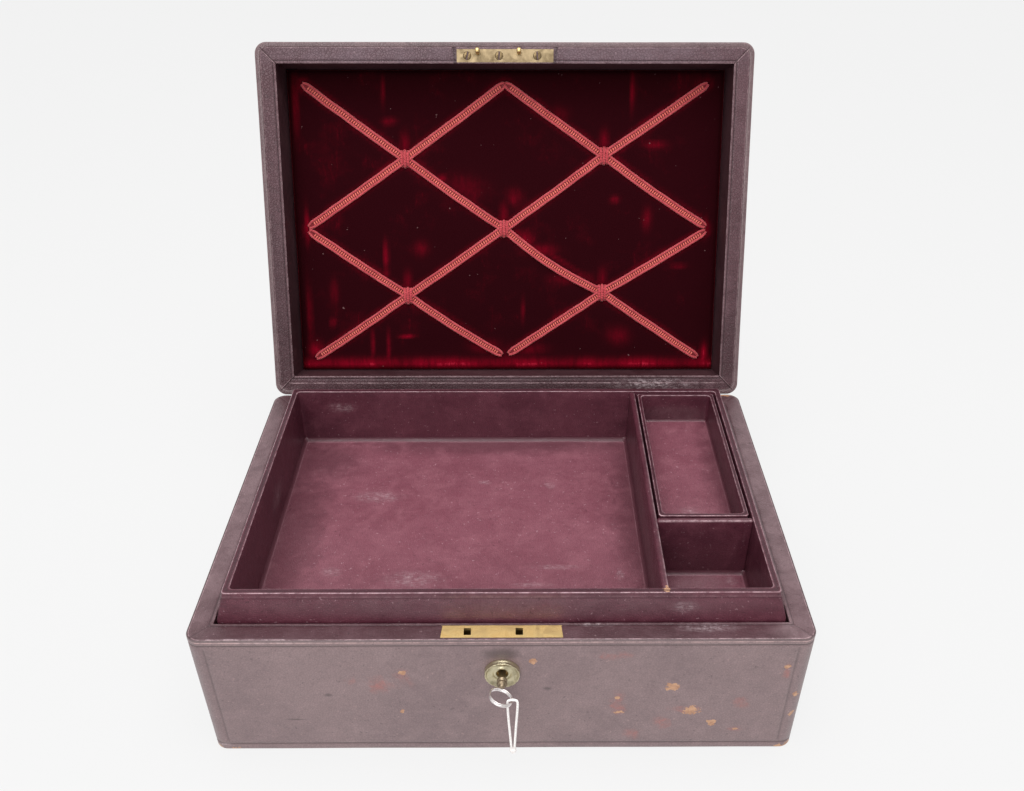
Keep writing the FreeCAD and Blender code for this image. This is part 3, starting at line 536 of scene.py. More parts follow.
outer_leather = leather(
    "outer_leather", rgb(118, 97, 99), rgb(129, 107, 108), rgb(141, 119, 120), rgb(184, 152, 150), grain=760,
    dust=0.25, chips=CHIPS, reds=REDS, chalk=OUTER_CHALK, white=0.75, stains_and_shade=STAINS, stain=0.75)
lid_leather = leather(
    "lid_leather", rgb(84, 63, 66), rgb(98, 76, 79), rgb(114, 92, 94), rgb(168, 142, 143), grain=700,
    depth=0.0003, grit=0.18, dust=0.2, shine=0.1)
rim_leather = leather(
    "rim_leather", rgb(66, 39, 44), rgb(78, 49, 55), rgb(93, 65, 71), rgb(182, 154, 158), grain=700,
    grit=0.12, gloss=0.36, shine=0.1, dust=0.2, chips=RIM_CHIPS, chalk=RIM_CHALK, white=0.6,
    faded_and_lit=RIM_FADED, fade_and_light_tone=rgb(121, 97, 101))
lid_rim_leather = leather(
    "lid_rim_leather", rgb(70, 43, 48), rgb(83, 55, 61), rgb(98, 71, 77), rgb(176, 148, 152), grain=620,
    depth=0.0004, grit=0.3, gloss=0.42, shine=0.03, dust=0.2, chalk=LID_CHALK, white=0.6, stains_and_shade=LID_SHADE,
    stain=0.42, faded_and_lit=LID_TOP_PAINTED_LIGHT, fade_and_light_tone=rgb(100, 80, 87))
tray_leather = leather(
    "tray_leather", rgb(72, 31, 43), rgb(86, 41, 53), rgb(102, 54, 66), rgb(196, 164, 170), gloss=0.36,
    shine=0.08, dust=0.22, chips=TRAY_CHIPS, chalk=TRAY_CHALK, stains_and_shade=TRAY_WELL_SHADE, stain=0.24,
    faded_and_lit=TRAY_PAINTED_REFLECTION, fade_and_light_tone=rgb(94, 62, 69))
floor_leather = leather(
    "floor_leather", rgb(119, 65, 78), rgb(129, 75, 88), rgb(143, 88, 100), rgb(190, 156, 164), shine=0.1,
    dust=0.35, chalk=FLOOR_CHALK, stains_and_shade=FLOOR_SHADE, stain=0.58, faded_and_lit=FLOOR_FADED, fade_and_light_tone=rgb(128, 94, 101))
lining = leather(
    "lining_leather", rgb(60, 35, 40), rgb(72, 45, 50), rgb(84, 55, 60), rgb(140, 110, 112), gloss=0.6,
    shine=0, dust=0.2)
velvet_pile = velvet()
braid_edge = thread("braid_silk", rgb(150, 42, 52), rgb(198, 84, 88))
braid_heart = thread("braid_gold_silk", rgb(196, 76, 72), rgb(234, 130, 110))
braid_back = thread("braid_ground", rgb(104, 16, 26), rgb(134, 30, 40))
tie_silk = thread("tie_silk", rgb(140, 32, 44), rgb(200, 78, 84))
cotton = thread("cotton", rgb(220, 214, 212), rgb(252, 250, 248))
plate_brass = metal("plate_brass", rgb(240, 210, 146), rgb(190, 150, 92), 0.30, 0.4, (0.05, 1, 1))
link_brass = metal("link_brass", rgb(132, 116, 90), rgb(108, 92, 68), 0.36, 0.5, (0.05, 1, 1))
rose_brass = metal("rose_brass", rgb(204, 194, 164), rgb(126, 116, 92), 0.24, 0.55)
lock_brass = metal("lock_works_brass", rgb(150, 122, 76), rgb(80, 60, 36), 0.38, 0.7)
steel = metal("screw_steel", rgb(124, 106, 78), rgb(86, 70, 50), 0.36, 0.6)
bow_steel = metal("bow_steel", rgb(240, 234, 234), rgb(150, 138, 130), 0.2, 0.35)
shank_steel = metal("shank_steel", rgb(150, 134, 112), rgb(76, 62, 46), 0.28, 0.6)
board = wood("board_wood", rgb(96, 62, 38), rgb(150, 108, 70))
card = wood("tray_card", rgb(74, 44, 40), rgb(104, 70, 62))

CAD_MATERIALS = dict(
    board_wood=board, tray_card=card, lining_leather=lining, lock_brass=lock_brass,
    hinge_brass=link_brass, screw_steel=steel, leather_outer=outer_leather, leather_rim=rim_leather,
    leather_tray=tray_leather, leather_floor=floor_leather, velvet=velvet_pile, braid=braid_edge,
    key_steel=bow_steel, string_cotton=cotton)
NODE_MATERIALS = {"tray_rest_" + side: lining for side in ("front", "back", "left", "right")}
NODE_MATERIALS |= {"lid_top_board": lining, "lock_plate": plate_brass, "link_plate": link_brass}


def dress_cad():
    for part in frame["record"]["subparts"]:
        thing = frame["nodes"][part["node"]]
        thing.data.materials.clear()
        thing.data.materials.append(NODE_MATERIALS.get(part["node"], CAD_MATERIALS[part["material_slot"]]))


# String on the key's bow

HANG = vec(5.077, -124.717, 57.652)
LEFT = [(0, 0, 2.3), (-1.35, 0, 2.3), (-2.35, 0, 1.3), (-2.35, 0.1, -1.4), (-2.25, 0.3, -6.5),
        (-1.8, 0.4, -16.5), (-0.7, 0, -34.5)]
RIGHT = [(0, 0, 2.3), (1.35, 0, 2.3), (2.35, 0, 1.3), (2.4, -0.1, -1.4), (2.2, -0.3, -6.5),
         (1.5, -0.4, -16.5), (0.7, 0, -34.5)]


def add_string():
    for name, route in (("string_left", LEFT), ("string_right", RIGHT)):
        data = bpy.data.curves.new(name, "CURVE")
        data.dimensions = "3D"
        data.bevel_depth = 0.6 * MM
        data.bevel_resolution = 4
        data.resolution_u = 16
        data.use_fill_caps = True
        spline = data.splines.new("NURBS")
        spline.points.add(len(route) - 1)
        for point, place in zip(spline.points, route):
            point.co = (*((HANG + Vector(place)) * MM), 1)
        spline.order_u = 3
        spline.use_endpoint_u = True
        data.materials.append(cotton)
        made = add_object(name, data)
        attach(made, "string")
        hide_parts(name + "_strand")
    end = HANG + vec(0, 0, -35.4)
    loops = []
    for turn in (0, 1.1, 2.2):
        across = vec(cos(turn), 0.8 * sin(turn), 0)
        angles = [2 * pi * i / 20 for i in range(21)]
        loop = [end + 1.15 * cos(a) * across + vec(0, 0, 1.1 * sin(a) + 0.25 * cos(2 * turn))
                for a in angles]
        loops.append(tube(loop, 0.62, 8, normal=vec(-sin(turn), cos(turn), 0.05)))
    knot = piece("string_knot_tied", join(*loops), cotton, "string", ("string_knot",))


# Covering and rims

HINGE_CUTS = [s * (HINGE_X + e) for s in (-1, 1) for e in (-HINGE_HALF, HINGE_HALF)]


def near_hinge(spot, z_low, z_high):
    return abs(abs(spot.x) - HINGE_X) < HINGE_HALF and spot.y > D / 2 - 2.35 and z_low < spot.z < z_high


def crease(height, depth=0.4):
    """Profile points of a tooled line pressed into an upright face."""
    return [(0, height + 0.9, 0), (depth * 0.35, height + 0.45, -0.35), (depth, height, -1),
            (depth * 0.35, height - 0.45, -0.35), (0, height - 0.9, 0)]


def cover_outlines():
    xs = run_places(W / 2 - CORNER, 2.2, HINGE_CUTS + [s * e for s in (-1, 1) for e in LINES_X])
    ys = run_places(D / 2 - CORNER, 2.2, [s * e for s in (-1, 1) for e in LINES_Y])
    return outline(W, D, CORNER, xs, ys), outline(W - 2 * COVER_TURN, D - 2 * COVER_TURN, 0.6, xs, ys)


def corner_lines(low, high):
    """Upright tooled lines beside the case's corners, between two heights."""
    def press(place, inward, height):
        if not low < height < high or inward > 0.01:
            return 0
        x, y = abs(place.x), abs(place.y)
        off = abs(x - LINES_X[1]) if y > D / 2 - 0.1 else abs(y - LINES_Y[1]) if x > W / 2 - 0.1 else 9
        return 0.3 * exp(-(off / 0.45) ** 2)
    return press


def add_base_cover():
    outer, inner = cover_outlines()
    # The cover's top edge, tucked under the rim: dark in the seam, then a light band just below the arris,
    # worn and partly a painted reflection of the sky
    edge = [(0.6, 1.1, 0), (0.55, 0.15, -1), (0.4, 0.02, -1), (0.2, 0.06, -0.8), (0.06, 0.2, -0.6),
            (0, 0.5, -0.5), (0, 0.8, -0.35), (0, 1.05, 0.6), (0, 1.4, 1), (0, 1.7, 0.5), (0, 2, -0.15),
            (0, 2.4, 0), (0, 2.6, 0.35)]
    profile = [(inward, H - down, mark) for inward, down, mark in edge] + crease(TOP_LINE)
    profile += [(0, 76 - 2.2 * i, 0) for i in range(1, 32)] + crease(FOOT_LINE)
    profile += [(0, 3, 0)] + arc(1.2, 1.2, 1.2, 0, -90, 6, 0.6) + [(4, 0, 0.1), (COVER_TURN, 0, 0)]

    def skip(spot):
        keyhole = spot.y < FRONT + 1 and hypot(spot.x, spot.z - KEY_Z) < ROSE_HOLE
        return keyhole or near_hinge(spot, 78.8, 90)
    lines = corner_lines(FOOT_LINE + 1, TOP_LINE - 1)
    made = ring(outer, inner, COVER_TURN, profile, False, skip, 0.10, lines)
    piece("base_cover", made, outer_leather, "base", ("base_leather",))


def add_lid_cover():
    outer, inner = cover_outlines()
    profile = [(3.05, Z0 + 0.9, 0), (3, Z0 + 0.1, -0.9), (2.85, Z0, 0.15), (1.8, Z0, 0)]
    profile += arc(1.2, Z0 + 1.2, 1.2, -90, 0, 6, 0.35) + [(0, Z0 + 2.2, 0)]
    profile += crease(Z0 + LID_EDGE_LINE)[::-1]
    profile += [(0, Z0 + 5.6 + 2.2 * i, 0) for i in range(1, 12)] + arc(2.5, Z1 - 2.5, 2.5, 0, 90, 8, 0.5)
    profile += [(4.1, Z1, 0), (4.6, Z1 - 0.15, -0.35), (5, Z1 - 0.45, -1), (5.4, Z1 - 0.15, -0.35)]
    profile += [(5.9, Z1, 0), (8, Z1, 0), (COVER_TURN, Z1, 0)]

    def skip(spot):
        return near_hinge(spot, 70, Z0 + 2.3)
    lines = corner_lines(Z0 + LID_EDGE_LINE + 1, Z1 - 3)
    made = ring(outer, inner, COVER_TURN, profile, False, skip, 0.10, lines)
    made[1].append([(i + 1) * len(profile) - 1 for i in range(len(outer))])
    piece("lid_cover", made, lid_leather, "lid", ("lid_leather",))


def mitre_lines():
    """A light and a dark line along each mitre of the lid's rim."""
    made = []
    for sx in (-1, 1):
        for sy in (-1, 1):
            inner, outer = (vec(sx * (W / 2 - e), sy * (D / 2 - e), Z0 + 0.14) for e in (RIM + LID_LIP, 3.3))
            for step, mark in ((-0.28, -1), (0.28, 0.6)):
                line = [inner.lerp(outer, i / 6) + vec(sx, -sy, 0) * step / sqrt(2) for i in range(7)]
                points, faces = tube(line, 0.26, 8)
                made.append((points, faces, [mark] * len(points)))
    return made


def add_rim(body, turn_in, seam, base_z, up, cut=()):
    """Rim strip from outer seam to rounded inner edge; up is 1 on the case and -1 on the lid."""
    xs = run_places(W / 2 - CORNER, 2.4, HINGE_CUTS + [s * e for s in (-1, 1) for e in (PLATE, PATCH)])
    ys = run_places(D / 2 - CORNER, 2.4)
    wide = RIM + LID_LIP if up < 0 else RIM
    outer = outline(W, D, CORNER, xs, ys)
    inner = outline(W - 2 * wide, D - 2 * wide, 0.25, xs, ys)
    first, last = turn_in + 0.4, wide - 2
    count = round((last - first) / 1.1)
    rows = [(turn_in - 0.05, -0.4, -0.8), (turn_in + 0.12, -0.1, seam), (first, 0, seam), (first + 0.3, 0, 0)]
    rows += [(first + (last - first) * i / count, 0, 0) for i in range(1, count)]
    rows += [(last, 0, 0), (last + 0.15, -0.12, -1), (last + 0.5, -0.12, -1), (last + 0.65, 0, 0)]
    rows += [(wide - 0.45, -0.03, 0.2), (wide - 0.12, -0.2, 0.5), (wide, -0.6, 0), (wide, -0.95, 0)]
    rows += [(LID_LINE + e, 0, 0) for e in (-0.45, -0.3, 0.3, 0.45)]
    rows = sorted(rows + [(inward, 0, 0) for inward in cut], key=lambda row: (row[0], -row[1]))
    if up < 0:
        rows.append((RIM - 0.2, -1, 0))
    profile = [(inward, base_z + up * height, mark) for inward, height, mark in rows]

    def skip(spot):
        if near_hinge(spot, 70, 95):
            return True
        return bool(cut) and abs(spot.x) < PLATE and cut[0] < spot.y - FRONT < cut[1]
    points, faces, marks = ring(outer, inner, wide, profile, False, skip, 0.08)
    for i, place in enumerate(outer):
        mitred = abs((W / 2 - abs(place.x)) - (D / 2 - abs(place.y))) < 0.35
        joined = up < 0 and place.y < FRONT + 1 and abs(abs(place.x) - PATCH) < 0.05
        if mitred or joined:
            for j in range(i * len(profile), (i + 1) * len(profile)):
                points[j].z -= 0.25 * up
                marks[j] = -0.9 if joined else -0.45
        elif up < 0 and place.y > D / 2 - 1:
            for j, (inward, _, _) in enumerate(profile):
                if abs(inward - LID_LINE) < 0.35:
                    marks[i * len(profile) + j] = 0.5
    seams, material = (mitre_lines(), lid_rim_leather) if up < 0 else ([], rim_leather)
    shape = join((points, faces, marks), *seams)
    piece(body + "_rim_strips", shape, material, body, (body + "_rim_leather",))


# Velvet panel and braid

# Braid points on the panel: across the case and up from the hinge line
BRAID = dict(
    TL=(-127.8, 193.3), T=(-0.6, 193.6), TR=(127, 193.5), A=(-64.7, 148.3), B=(62.4, 150.2),
    L=(-128.4, 105.6), L2=(-128.4, 103.2), C=(-1.8, 104.7), R=(129.4, 106), R2=(129.4, 103.2),
    E=(-65.4, 61.6), F=(62.7, 63.5), BL=(-128, 20.2), M=(-3.6, 22.3), M2=(0.8, 23),
    BR=(127.4, 20.8))
BRAID = {key: Vector(place) for key, place in BRAID.items()}
FALLING = [("TL", "A", "C", "F", "BR"), ("T", "B", "R"), ("L2", "E", "M")]
RISING = [("BL", "E", "C", "B", "TR"), ("M2", "F", "R2"), ("L", "A", "T")]
SAG = {("C", "F"): 2.9, ("B", "R"): 1, ("E", "M"): 1, ("A", "C"): 0.7}
TIES = [BRAID[key] for key in "ABCEF"]
SEGMENTS = [(BRAID[a], BRAID[b]) for strip in FALLING + RISING for a, b in zip(strip, strip[1:])]
# Marks where the pile is crushed: across, up, half widths and strength
CRUSHED = [
    (-79, 87, 1.1, 6.9, 1), (-79, 75, 1.3, 3.9, 0.6), (80, 190, 1.1, 9.9, 0.6), (-78, 189, 0.9, 7.9, 0.45),
    (-74, 171, 3.8, 2, 0.45), (-130, 107, 1.1, 9, 0.9), (129, 105, 1.7, 5.3, 0.7), (-133, 180, 1.7, 16, 0.45),
    (-131, 47, 1.1, 20, 0.6), (-128, 26, 4, 4.9, 0.9), (-90, 29, 1.1, 7.9, 0.6), (-79, 26, 0.9, 9.5, 0.7),
    (-116, 44, 1.3, 2.7, 0.6), (-67, 35, 4, 0.9, 0.9), (132, 22, 2, 6.8, 0.9), (-42, 136, 3.2, 2.1, 0.5),
    (-27, 130, 11.8, 7.3, 0.16), (5, 124, 3.9, 5, 0.22), (12, 97, 4.4, 4.7, 0.5), (22, 91, 8.7, 3, 0.45),
    (10, 52, 0.9, 6.6, 0.5), (70, 123, 2.6, 2.1, 0.45), (113, 81, 4.8, 1.1, 0.5), (-15, 28, 8.9, 4, 0.4),
    (12, 26, 11.2, 3.6, 0.45), (95, 157, 6.4, 2, 0.35), (91, 111, 2.6, 6.3, 0.35), (43, 73, 11, 3, 0.4),
    (-114, 64, 2.2, 6.6, 0.35), (74, 35, 6.7, 5.4, 0.3), (33, 175, 5.5, 4.4, 0.25), (-56, 92, 4.4, 4.3, 0.3)]
CRUSHED += [(tie.x, tie.y + 9, 2.4, 6, 0.4) for tie in TIES]
PAD = vec(W / 2 - RIM - 0.4, D / 2 - RIM - 0.4)


def off_braid(spot):
    """Distance from a panel place to the nearest strip of braid."""
    least = 99
    for a, b in SEGMENTS:
        share = min(1, max(0, (spot - a).dot(b - a) / (b - a).length_squared))
        least = min(least, (spot - a - (b - a) * share).length)
    return least


def pile_height(spot):
    """Height of the velvet at a panel place: crowned, rolled over at its edge and drawn in at the ties."""
    near = max(0, min(PAD.x - abs(spot.x), PAD.y - abs(spot.y - D / 2)))
    roll = 3.2
    drop = 0 if near > roll else roll - sqrt(max(0, roll ** 2 - (roll - near) ** 2))
    drawn = max(exp(-((spot - tie).length / 9) ** 2) for tie in TIES)
    rough = noise.noise(vec(*spot, 0) / 16) * 0.3 + noise.noise(vec(*spot, 9) / 5) * 0.1
    return 1.1 * (1 - exp(-near / 16)) - drop - 1.1 * drawn + rough * min(1, near / 6) - 0.5


def on_panel(spot, height):
    """Panel place and height off the velvet as a point of the closed lid."""
    return vec(spot.x, D / 2 - spot.y, VELVET_Z - pile_height(spot) - height)


def add_velvet():
    nx, ny = 132, 92
    points, faces, marks = [], [], []
    for j in range(ny + 1):
        for i in range(nx + 1):
            spot = vec(PAD.x * (2 * i / nx - 1), D / 2 + PAD.y * (2 * j / ny - 1))
            away = off_braid(spot)
            points.append(on_panel(spot, -0.35 * exp(-(away / 4) ** 2)))
            crush_and_sheen = 0.2 * exp(-((away - 2.6) / 1.6) ** 2) * (1 + noise.noise(vec(*spot, 30) / 14))
            # Crushed pile and painted sheen: a bright band along the rolled lower edge, where light catches
            # the curve
            drift = 0.75 + 0.5 * noise.noise(vec(spot.x, 3, 0) / 26)
            crush_and_sheen = max(crush_and_sheen, 0.95 * drift * exp(-((spot.y - 16) / 3.6) ** 2))
            for x, v, wide, high, strength in CRUSHED:
                crush_and_sheen = max(crush_and_sheen, strength * exp(-((spot.x - x) / wide) ** 2 - ((spot.y - v) / high) ** 2))
            marks.append(crush_and_sheen)
            if i and j:
                a = j * (nx + 1) + i
                faces.append([a - nx - 2, a - nx - 1, a, a - 1])
    border = list(range(nx)) + [j * (nx + 1) + nx for j in range(ny)]
    border += [ny * (nx + 1) + i for i in range(nx, 0, -1)] + [j * (nx + 1) for j in range(ny, 0, -1)]
    start = len(points)
    for k, v in enumerate(border):
        points.append(vec(points[v].x, points[v].y, CEILING_Z))
        marks.append(0)
        after = (k + 1) % len(border)
        faces.append([v, border[after], start + after, start + k])
    shape = (points, faces, marks)
    pad = piece("velvet_pad", shape, velvet_pile, "lid", ("velvet_panel",), "crush_and_sheen")


def braid_line(stops, rising):
    """Places along one strip: where, height over the other strip, ahead, across, how far it narrows."""
    line = []
    for first, last in zip(stops, stops[1:]):
        a, b = BRAID[first], BRAID[last]
        count = round((b - a).length / 0.78)
        side = vec(-(b - a).y, (b - a).x).normalized()
        side *= -1 if side.y > 0 else 1
        for i in range(count + (last == stops[-1])):
            share = i / count
            spot = a + (b - a) * share
            bow = SAG.get((first, last), 0.3) * sin(pi * share)
            line.append(spot + side * (bow + 0.22 * noise.noise(vec(spot.x, spot.y, 1) / 9)))
    made = []
    for i, spot in enumerate(line):
        ahead = (line[min(i + 1, len(line) - 1)] - line[max(i - 1, 0)]).normalized()
        lift = max(exp(-((spot - tie).length / 5) ** 2) for tie in TIES) if rising else 0
        ends = min(1, min(i, len(line) - 1 - i) / 5)
        made.append((spot, lift - 0.6 * (1 - ends), ahead, vec(-ahead.y, ahead.x), 0.25 + 0.75 * ends ** 0.5))
    return made


def add_braid():
    for name, strips, rising in (("braid_falling", FALLING, False), ("braid_rising", RISING, True)):
        edges, hearts, grounds = [], [], []
        for stops in strips:
            line = braid_line(stops, rising)
            for side in (-1, 1):
                cord = [on_panel(spot + across * side * 1.86 * narrow, 0.75 + lift)
                        for spot, lift, _, across, narrow in line]
                edges.append(tube(cord, 0.8, 8, twist=4, depth=0.15))
            points, faces = [], []
            for i, (spot, lift, ahead, across, narrow) in enumerate(line):
                for off, height in ((-2.1, 0.1), (0, 0.6), (2.1, 0.1)):
                    points.append(on_panel(spot + across * off * narrow, height + lift))
                if i:
                    faces += [[3 * i - 3 + j, 3 * i - 2 + j, 3 * i + 1 + j, 3 * i + j] for j in range(2)]
                if i % 2 == 0 and 4 < i < len(line) - 5:
                    lean = (across + ahead * 0.12).normalized()
                    bar = [on_panel(spot + lean * o, 0.62 + lift + 0.28 * (1 - (o / 0.9) ** 2))
                           for o in (-0.9, -0.45, 0, 0.45, 0.9)]
                    hearts.append(tube(bar, 0.46, 6))
            grounds.append((points, faces))
        piece(name + "_cords", join(*edges), braid_edge, "lid", (name,))
        piece(name + "_stitches", join(*hearts), braid_heart, "lid", ())
        piece(name + "_ground", join(*grounds), braid_back, "lid", ())
    wraps = []
    for tie in TIES:
        for k in (-1, 0, 1):
            reach = 4.9 - 0.5 * abs(k)
            wrap = []
            for i in range(33):
                angle = pi * i / 32
                spot = tie + vec(k * 2.1 * (1 - 0.1 * sin(angle)), reach * cos(angle))
                wrap.append(on_panel(spot, 3.4 * sin(angle) ** 0.7 - 0.7 - 0.5 * abs(k)))
            wraps.append(tube(wrap, 1, 10, twist=4.4, depth=0.16, normal=vec(1, 0, 0)))
    piece("braid_ties_wrapped", join(*wraps), tie_silk, "lid", ("braid_ties",))


# Trays

def tray_ring(foot, place, low, rim, high, lean, wall, radius, corner):
    """Walls of a tray: upright to the rim height, leaning in above it, with rounded top edges."""
    depth = lean + wall
    xs, ys = (run_places(side / 2 - corner, 4) for side in foot)
    outer = outline(foot[0], foot[1], corner, xs, ys, 6, place)
    inner = outline(foot[0] - 2 * depth, foot[1] - 2 * depth, 1.6 * corner, xs, ys, 6, place)

    def face(height, sunk=0, mark=0):
        return (lean * max(0, height - rim) / (high - rim) + sunk, height, mark)
    profile = [face(z) for z in (low, (low + rim) / 2, rim - 0.3, rim + 0.3, (rim + high) / 2, high - 3.6)]
    profile += [face(high - 3, 0.16, -0.3), face(high - 2.5, 0, 0.15), face(high - radius - 0.2)]
    tilt = atan2(lean, high - rim)
    centre = lean + radius * (1 - sin(tilt)) / cos(tilt)
    profile += arc(centre, high - radius, radius, degrees(tilt), 90, 5, 0.8, 50, 26)
    profile += [(lean + wall * share, high - 0.12, -0.7) for share in (0.36, 0.5, 0.64)]
    inside = arc(radius, high - radius, radius, 0, 90, 5, 0.6, 50, 26)
    profile += [(depth - inward, height, mark) for inward, height, mark in reversed(inside)]
    profile += [(depth, high - radius - (high - radius - low) * i / 8, 0) for i in range(1, 9)]
    return ring(outer, inner, depth, profile, True, None, 0.14)


def coved_floor(x0, x1, y0, y1, z, radius):
    """Floor sheet turned up at its edges in a small cove, with a painted highlight line round it and painted
    shade darkening the cove by the walls.
    """
    def places(low, high):
        ends = [radius * share for share in (0, 0.08, 0.3, 0.52, 0.6, 0.68, 0.8, 1)]
        count = max(2, round((high - low - 2 * radius) / 3.5))
        inner = [low + radius + (high - low - 2 * radius) * i / count for i in range(1, count)]
        return [low + e for e in ends] + inner + [high - e for e in reversed(ends)]
    xs, ys = places(x0, x1), places(y0, y1)
    points, faces, marks = [], [], []
    for j, y in enumerate(ys):
        for i, x in enumerate(xs):
            dx, dy = max(0, radius - min(x - x0, x1 - x)), max(0, radius - min(y - y0, y1 - y))
            far = min(radius, hypot(dx, dy))
            rise = radius - sqrt(max(0, radius ** 2 - far ** 2))
            wave = noise.noise(vec(x, y, z) / 34) * 0.35 + noise.noise(vec(x, y, z + 40) / 11) * 0.1
            points.append(vec(x, y, z + rise + wave * min(1, (radius - far) / radius)))
            share = far / radius
            # Painted shade high in the cove by the walls, then a painted highlight line lower in the cove
            marks.append(-1 if share > 0.55 else -0.4 if share > 0.45 else 0.3 if share > 0.36 else 0)
            if i and j:
                a = j * len(xs) + i
                faces.append([a - len(xs) - 1, a - len(xs), a, a - 1])
    return points, faces, marks


def add_trays():
    walls = tray_ring(TRAY_FOOT, (0, 0), TRAY_LOW, H, TRAY_TOP, TRAY_LEAN, TRAY_WALL, 0.55, 1.3)
    names = ("tray_front_wall", "tray_back_wall", "tray_left_wall", "tray_right_wall")
    piece("tray_walls", walls, tray_leather, "tray", names)
    low, high = PARTITION_Z
    for name, start, end, rubbed in (
            ("long", (LONG_X[0], -IN_Y - 0.2, low), (LONG_X[1], IN_Y + 0.2, high), (0.7, 0, 0.7)),
            ("cross", (LONG_X[1] - 0.3, CROSS_Y[0], low), (IN_X + 0.2, CROSS_Y[1], high), (0, -0.5, 0.8))):
        shape = soft_box(start, end, 1.3, rubbed=Vector(rubbed).normalized())
        node = name + "_partition"
        piece(node + "_covered", shape, tray_leather, "tray", (node,))
    floors = join(coved_floor(-IN_X, LONG_X[0], -IN_Y, IN_Y, TRAY_FLOOR, 2.7),
                  coved_floor(LONG_X[1], IN_X, -IN_Y, CROSS_Y[0], TRAY_FLOOR, 2.5),
                  coved_floor(LONG_X[1], IN_X, CROSS_Y[1], IN_Y, TRAY_FLOOR, 1))
    piece("tray_floors", floors, floor_leather, "tray", ("tray_floor_lining",))
    (x0, x1), (y0, y1), thin = SMALL_X, SMALL_Y, SMALL_WALL
    centre = ((x0 + x1) / 2, (y0 + y1) / 2)
    walls = tray_ring((x1 - x0, y1 - y0), centre, SMALL_FLOOR - 3, SMALL_FLOOR, SMALL_TOP, 0, thin, 0.5, 1.6)
    names = ("small_tray_ends", "small_tray_sides")
    piece("small_tray_walls", walls, tray_leather, "small_tray", names)
    sheet = coved_floor(x0 + thin, x1 - thin, y0 + thin, y1 - thin, SMALL_FLOOR, 1.7)
    piece("small_tray_floor", sheet, floor_leather, "small_tray", ("small_tray_lining",))


# Lock furniture and key

def facing(across, up, distance):
    """Turned work about the keyhole: distance runs out of the front face."""
    return vec(across, FRONT - distance, KEY_Z + up)


def notched(across, up, distance):
    """As facing, with small uneven nicks round the rose's lip."""
    angle = atan2(up, across)
    nick = 1 - 0.012 * max(0, sin(17 * angle) + sin(29 * angle + 1)) * max(0, distance - 1)
    return facing(across * nick, up * nick, distance)


def add_escutcheon():
    profile = [
        (4.27, -2.5), (4.27, 0.2), (2.95, 0.2), (2.9, 0.4), (2.9, 1.5), (3.1, 1.75), (3.6, 1.8), (4.1, 1.6),
        (4.5, 1.15), (5.2, 0.95), (6.2, 1.1), (7.2, 1.6), (7.8, 2.3), (8.1, 2.8), (8.3, 2.97), (8.5, 2.85),
        (8.55, 2.5), (8.4, 2.1), (8.3, 1.7), (8.5, 1.2), (8.6, 0.8), (8.6, 0.3), (8.5, 0.02), (5.5, 0),
        (5.47, -2.5)]
    piece("escutcheon_turned", lathe(profile, 96, notched), rose_brass, "base", ("escutcheon",))


def add_key():
    shank = [
        (0, -7.4), (1.5, -7.4), (1.75, -7.1), (1.75, 4.6), (1.95, 5), (2.4, 5.3), (2.6, 5.75), (2.4, 6.2),
        (1.9, 6.5), (1.75, 6.8), (1.75, 7.2), (2.3, 7.5), (2.6, 7.95), (2.4, 8.4), (1.8, 8.7), (1.5, 9.2),
        (1.45, 9.7), (0.9, 10.2), (0, 10.3)]
    bit = soft_box((-0.6, FRONT + 0.8, KEY_Z + 0.5), (0.6, FRONT + 3.6, KEY_Z + 2.8), 0.2, 2, 0)
    piece("key_shank", join(lathe(shank, 32, facing), bit), shank_steel, "key", ("key",))
    tilt = Matrix.Rotation(radians(-12), 3, vec(1, 0, 0))
    tilt = tilt @ Matrix.Rotation(radians(20), 3, vec(0, 1, 0))
    centre = vec(-0.4, -122.55, KEY_Z - 0.45)
    half = [(5.58, 0), (5.4, 0.2), (5.4, 0.75), (5.45, 0.88), (5.58, 0.92), (5.82, 0.92), (5.95, 0.88),
            (6, 0.75), (6, 0.2), (5.8, 0)]
    band = half + [(radius, -height) for radius, height in reversed(half)]
    bow = lathe(band, 72, lambda across, up, distance: centre + tilt @ vec(across, up, distance))
    piece("key_bow", bow, bow_steel, "key", ("key",))


# Link plate's screws, each a place and a turn of its slot, and its staples
LINK_SCREWS = ((-22.7, 0.18), (-3.6, 0.03), (19.3, -0.08))
STAPLES_X, STAPLES_Y = (-16.4, 8.3), -101.2


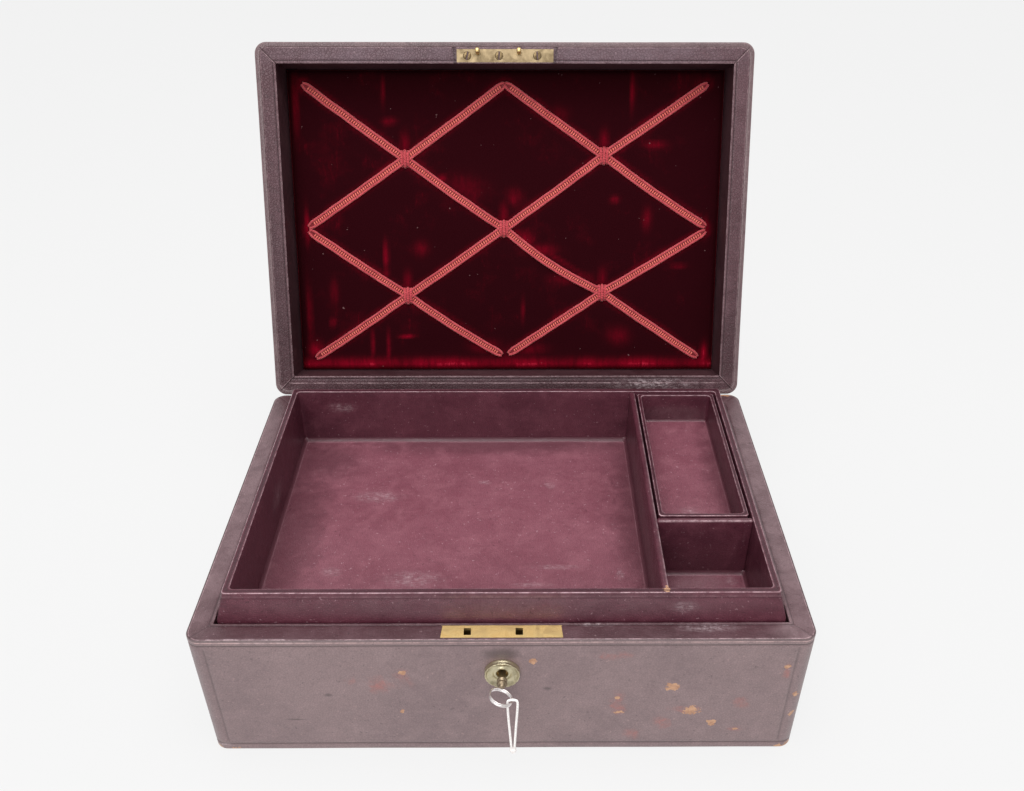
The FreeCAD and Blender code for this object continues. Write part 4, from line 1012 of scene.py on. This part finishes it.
def add_link():
    """Slotted screw heads let into the link plate, and its two staples."""
    heads = []
    for x, turn in LINK_SCREWS:
        centre = vec(x, FRONT + RIM - 3.7, Z0)
        spin = Matrix.Rotation(turn, 3, vec(0, 0, 1))
        for side in (-1, 1):
            angles = [radians(-80 + 160 * i / 16) for i in range(17)]
            loop = [vec(2.45 * cos(a) * side, 2.45 * sin(a), 0) for a in angles]
            loop += [vec(0.36 * side, loop[-1].y, 0), vec(0.36 * side, loop[0].y, 0)]
            n = len(loop)
            levels = ((0.9, -0.16), (1, 0.02), (1, 0.6))
            points = [centre + spin @ (p * size + vec(0, 0, z)) for size, z in levels for p in loop]
            faces = [list(range(n))]
            for level in (0, n):
                for i in range(n):
                    after = level + (i + 1) % n
                    faces.append([level + i, after, n + after, level + n + i])
            heads.append((points, faces))
        heads.append(lathe([(0, 0.42), (2.45, 0.42), (2.45, 0.9)], 24, lambda a, b, d: centre + vec(a, b, d)))
    piece("link_screw_heads", join(*heads), steel, "lid", ("link_screws",))
    staples = []
    for x in STAPLES_X:
        path = [vec(0, -0.8, z) for z in (0.6, -3, -6.9)]
        for i in range(1, 8):
            angle = pi * i / 8
            path.append(vec(0, -0.8 * cos(angle), -6.9 - 0.8 * sin(angle)))
        path += [vec(0, 0.8, z) for z in (-6.9, -3, 0.6)]
        points, faces = tube(path, 0.78, 12, normal=vec(1, 0, 0))
        staples.append(([vec(x + 1.5 * p.x, STAPLES_Y + p.y, Z0 + p.z) for p in points], faces))
    piece("link_hoops", join(*staples), plate_brass, "lid", ("link_staples",))


# Floor and light

def add_stage():
    n = Nodes("studio_paper")
    tone = n.noise(n.coords(), 3, 2, 0.5)
    n.set(Base_Color=n.mix(tone, (0.08, 0.08, 0.08, 1), (0.085, 0.085, 0.085, 1)), Roughness=0.9)
    n.set(Specular_IOR_Level=0.1, Emission_Color=(1, 1, 1, 1), Emission_Strength=0.80)
    mesh = bpy.data.meshes.new("studio_floor")
    rows = []
    for y, z in [(-6, 0), (1.2, 0), (1.9, 0.05), (2.5, 0.25), (2.9, 0.65), (3.1, 1.2), (3.1, 4)]:
        rows += [(-7, y, z), (7, y, z)]
    mesh.from_pydata(rows, [], [[2 * i, 2 * i + 1, 2 * i + 3, 2 * i + 2] for i in range(6)])
    mesh.shade_smooth()
    mesh.materials.append(n.owner)
    floor = add_object("studio_floor", mesh)
    sky = Nodes("studio", "worlds", "Background")
    ray = sky.node("ShaderNodeTexCoord").outputs["Generated"]
    rise = sky.node("ShaderNodeSeparateXYZ", {0: ray}).outputs["Z"]
    inputs = {"Value": rise, "From Min": 0.05, "From Max": 0.65, "To Min": 0.3, "To Max": 0.78}
    sky.set(Color=(1, 1, 1, 1), Strength=sky.node("ShaderNodeMapRange", inputs).outputs["Result"])
    bpy.context.scene.world = sky.owner
    for name, place, aim, size, power in (
            ("softbox_over", (0, -0.2, 1.25), (0, 0.02, 0.05), 1.1, 10),
            ("softbox_front", (-0.3, -1.6, 1.2), (0, 0, 0.08), 1.2, 19)):
        data = bpy.data.lights.new(name, "AREA")
        data.shape = "DISK"
        data.size = size
        data.energy = power
        lamp = add_object(name, data)
        lamp.location = place
        lamp.rotation_euler = (Vector(aim) - Vector(place)).to_track_quat("-Z", "Y").to_euler()
    bpy.context.scene.view_settings.view_transform = "Standard"


add_camera()
dress_cad()
add_string()
add_base_cover()
add_rim("base", 0.55, 0.6, H, 1, PLATE_Y)
add_lid_cover()
add_rim("lid", 3, 0.4, Z0, -1)
add_velvet()
add_braid()
add_trays()
add_escutcheon()
add_key()
add_link()
add_stage()
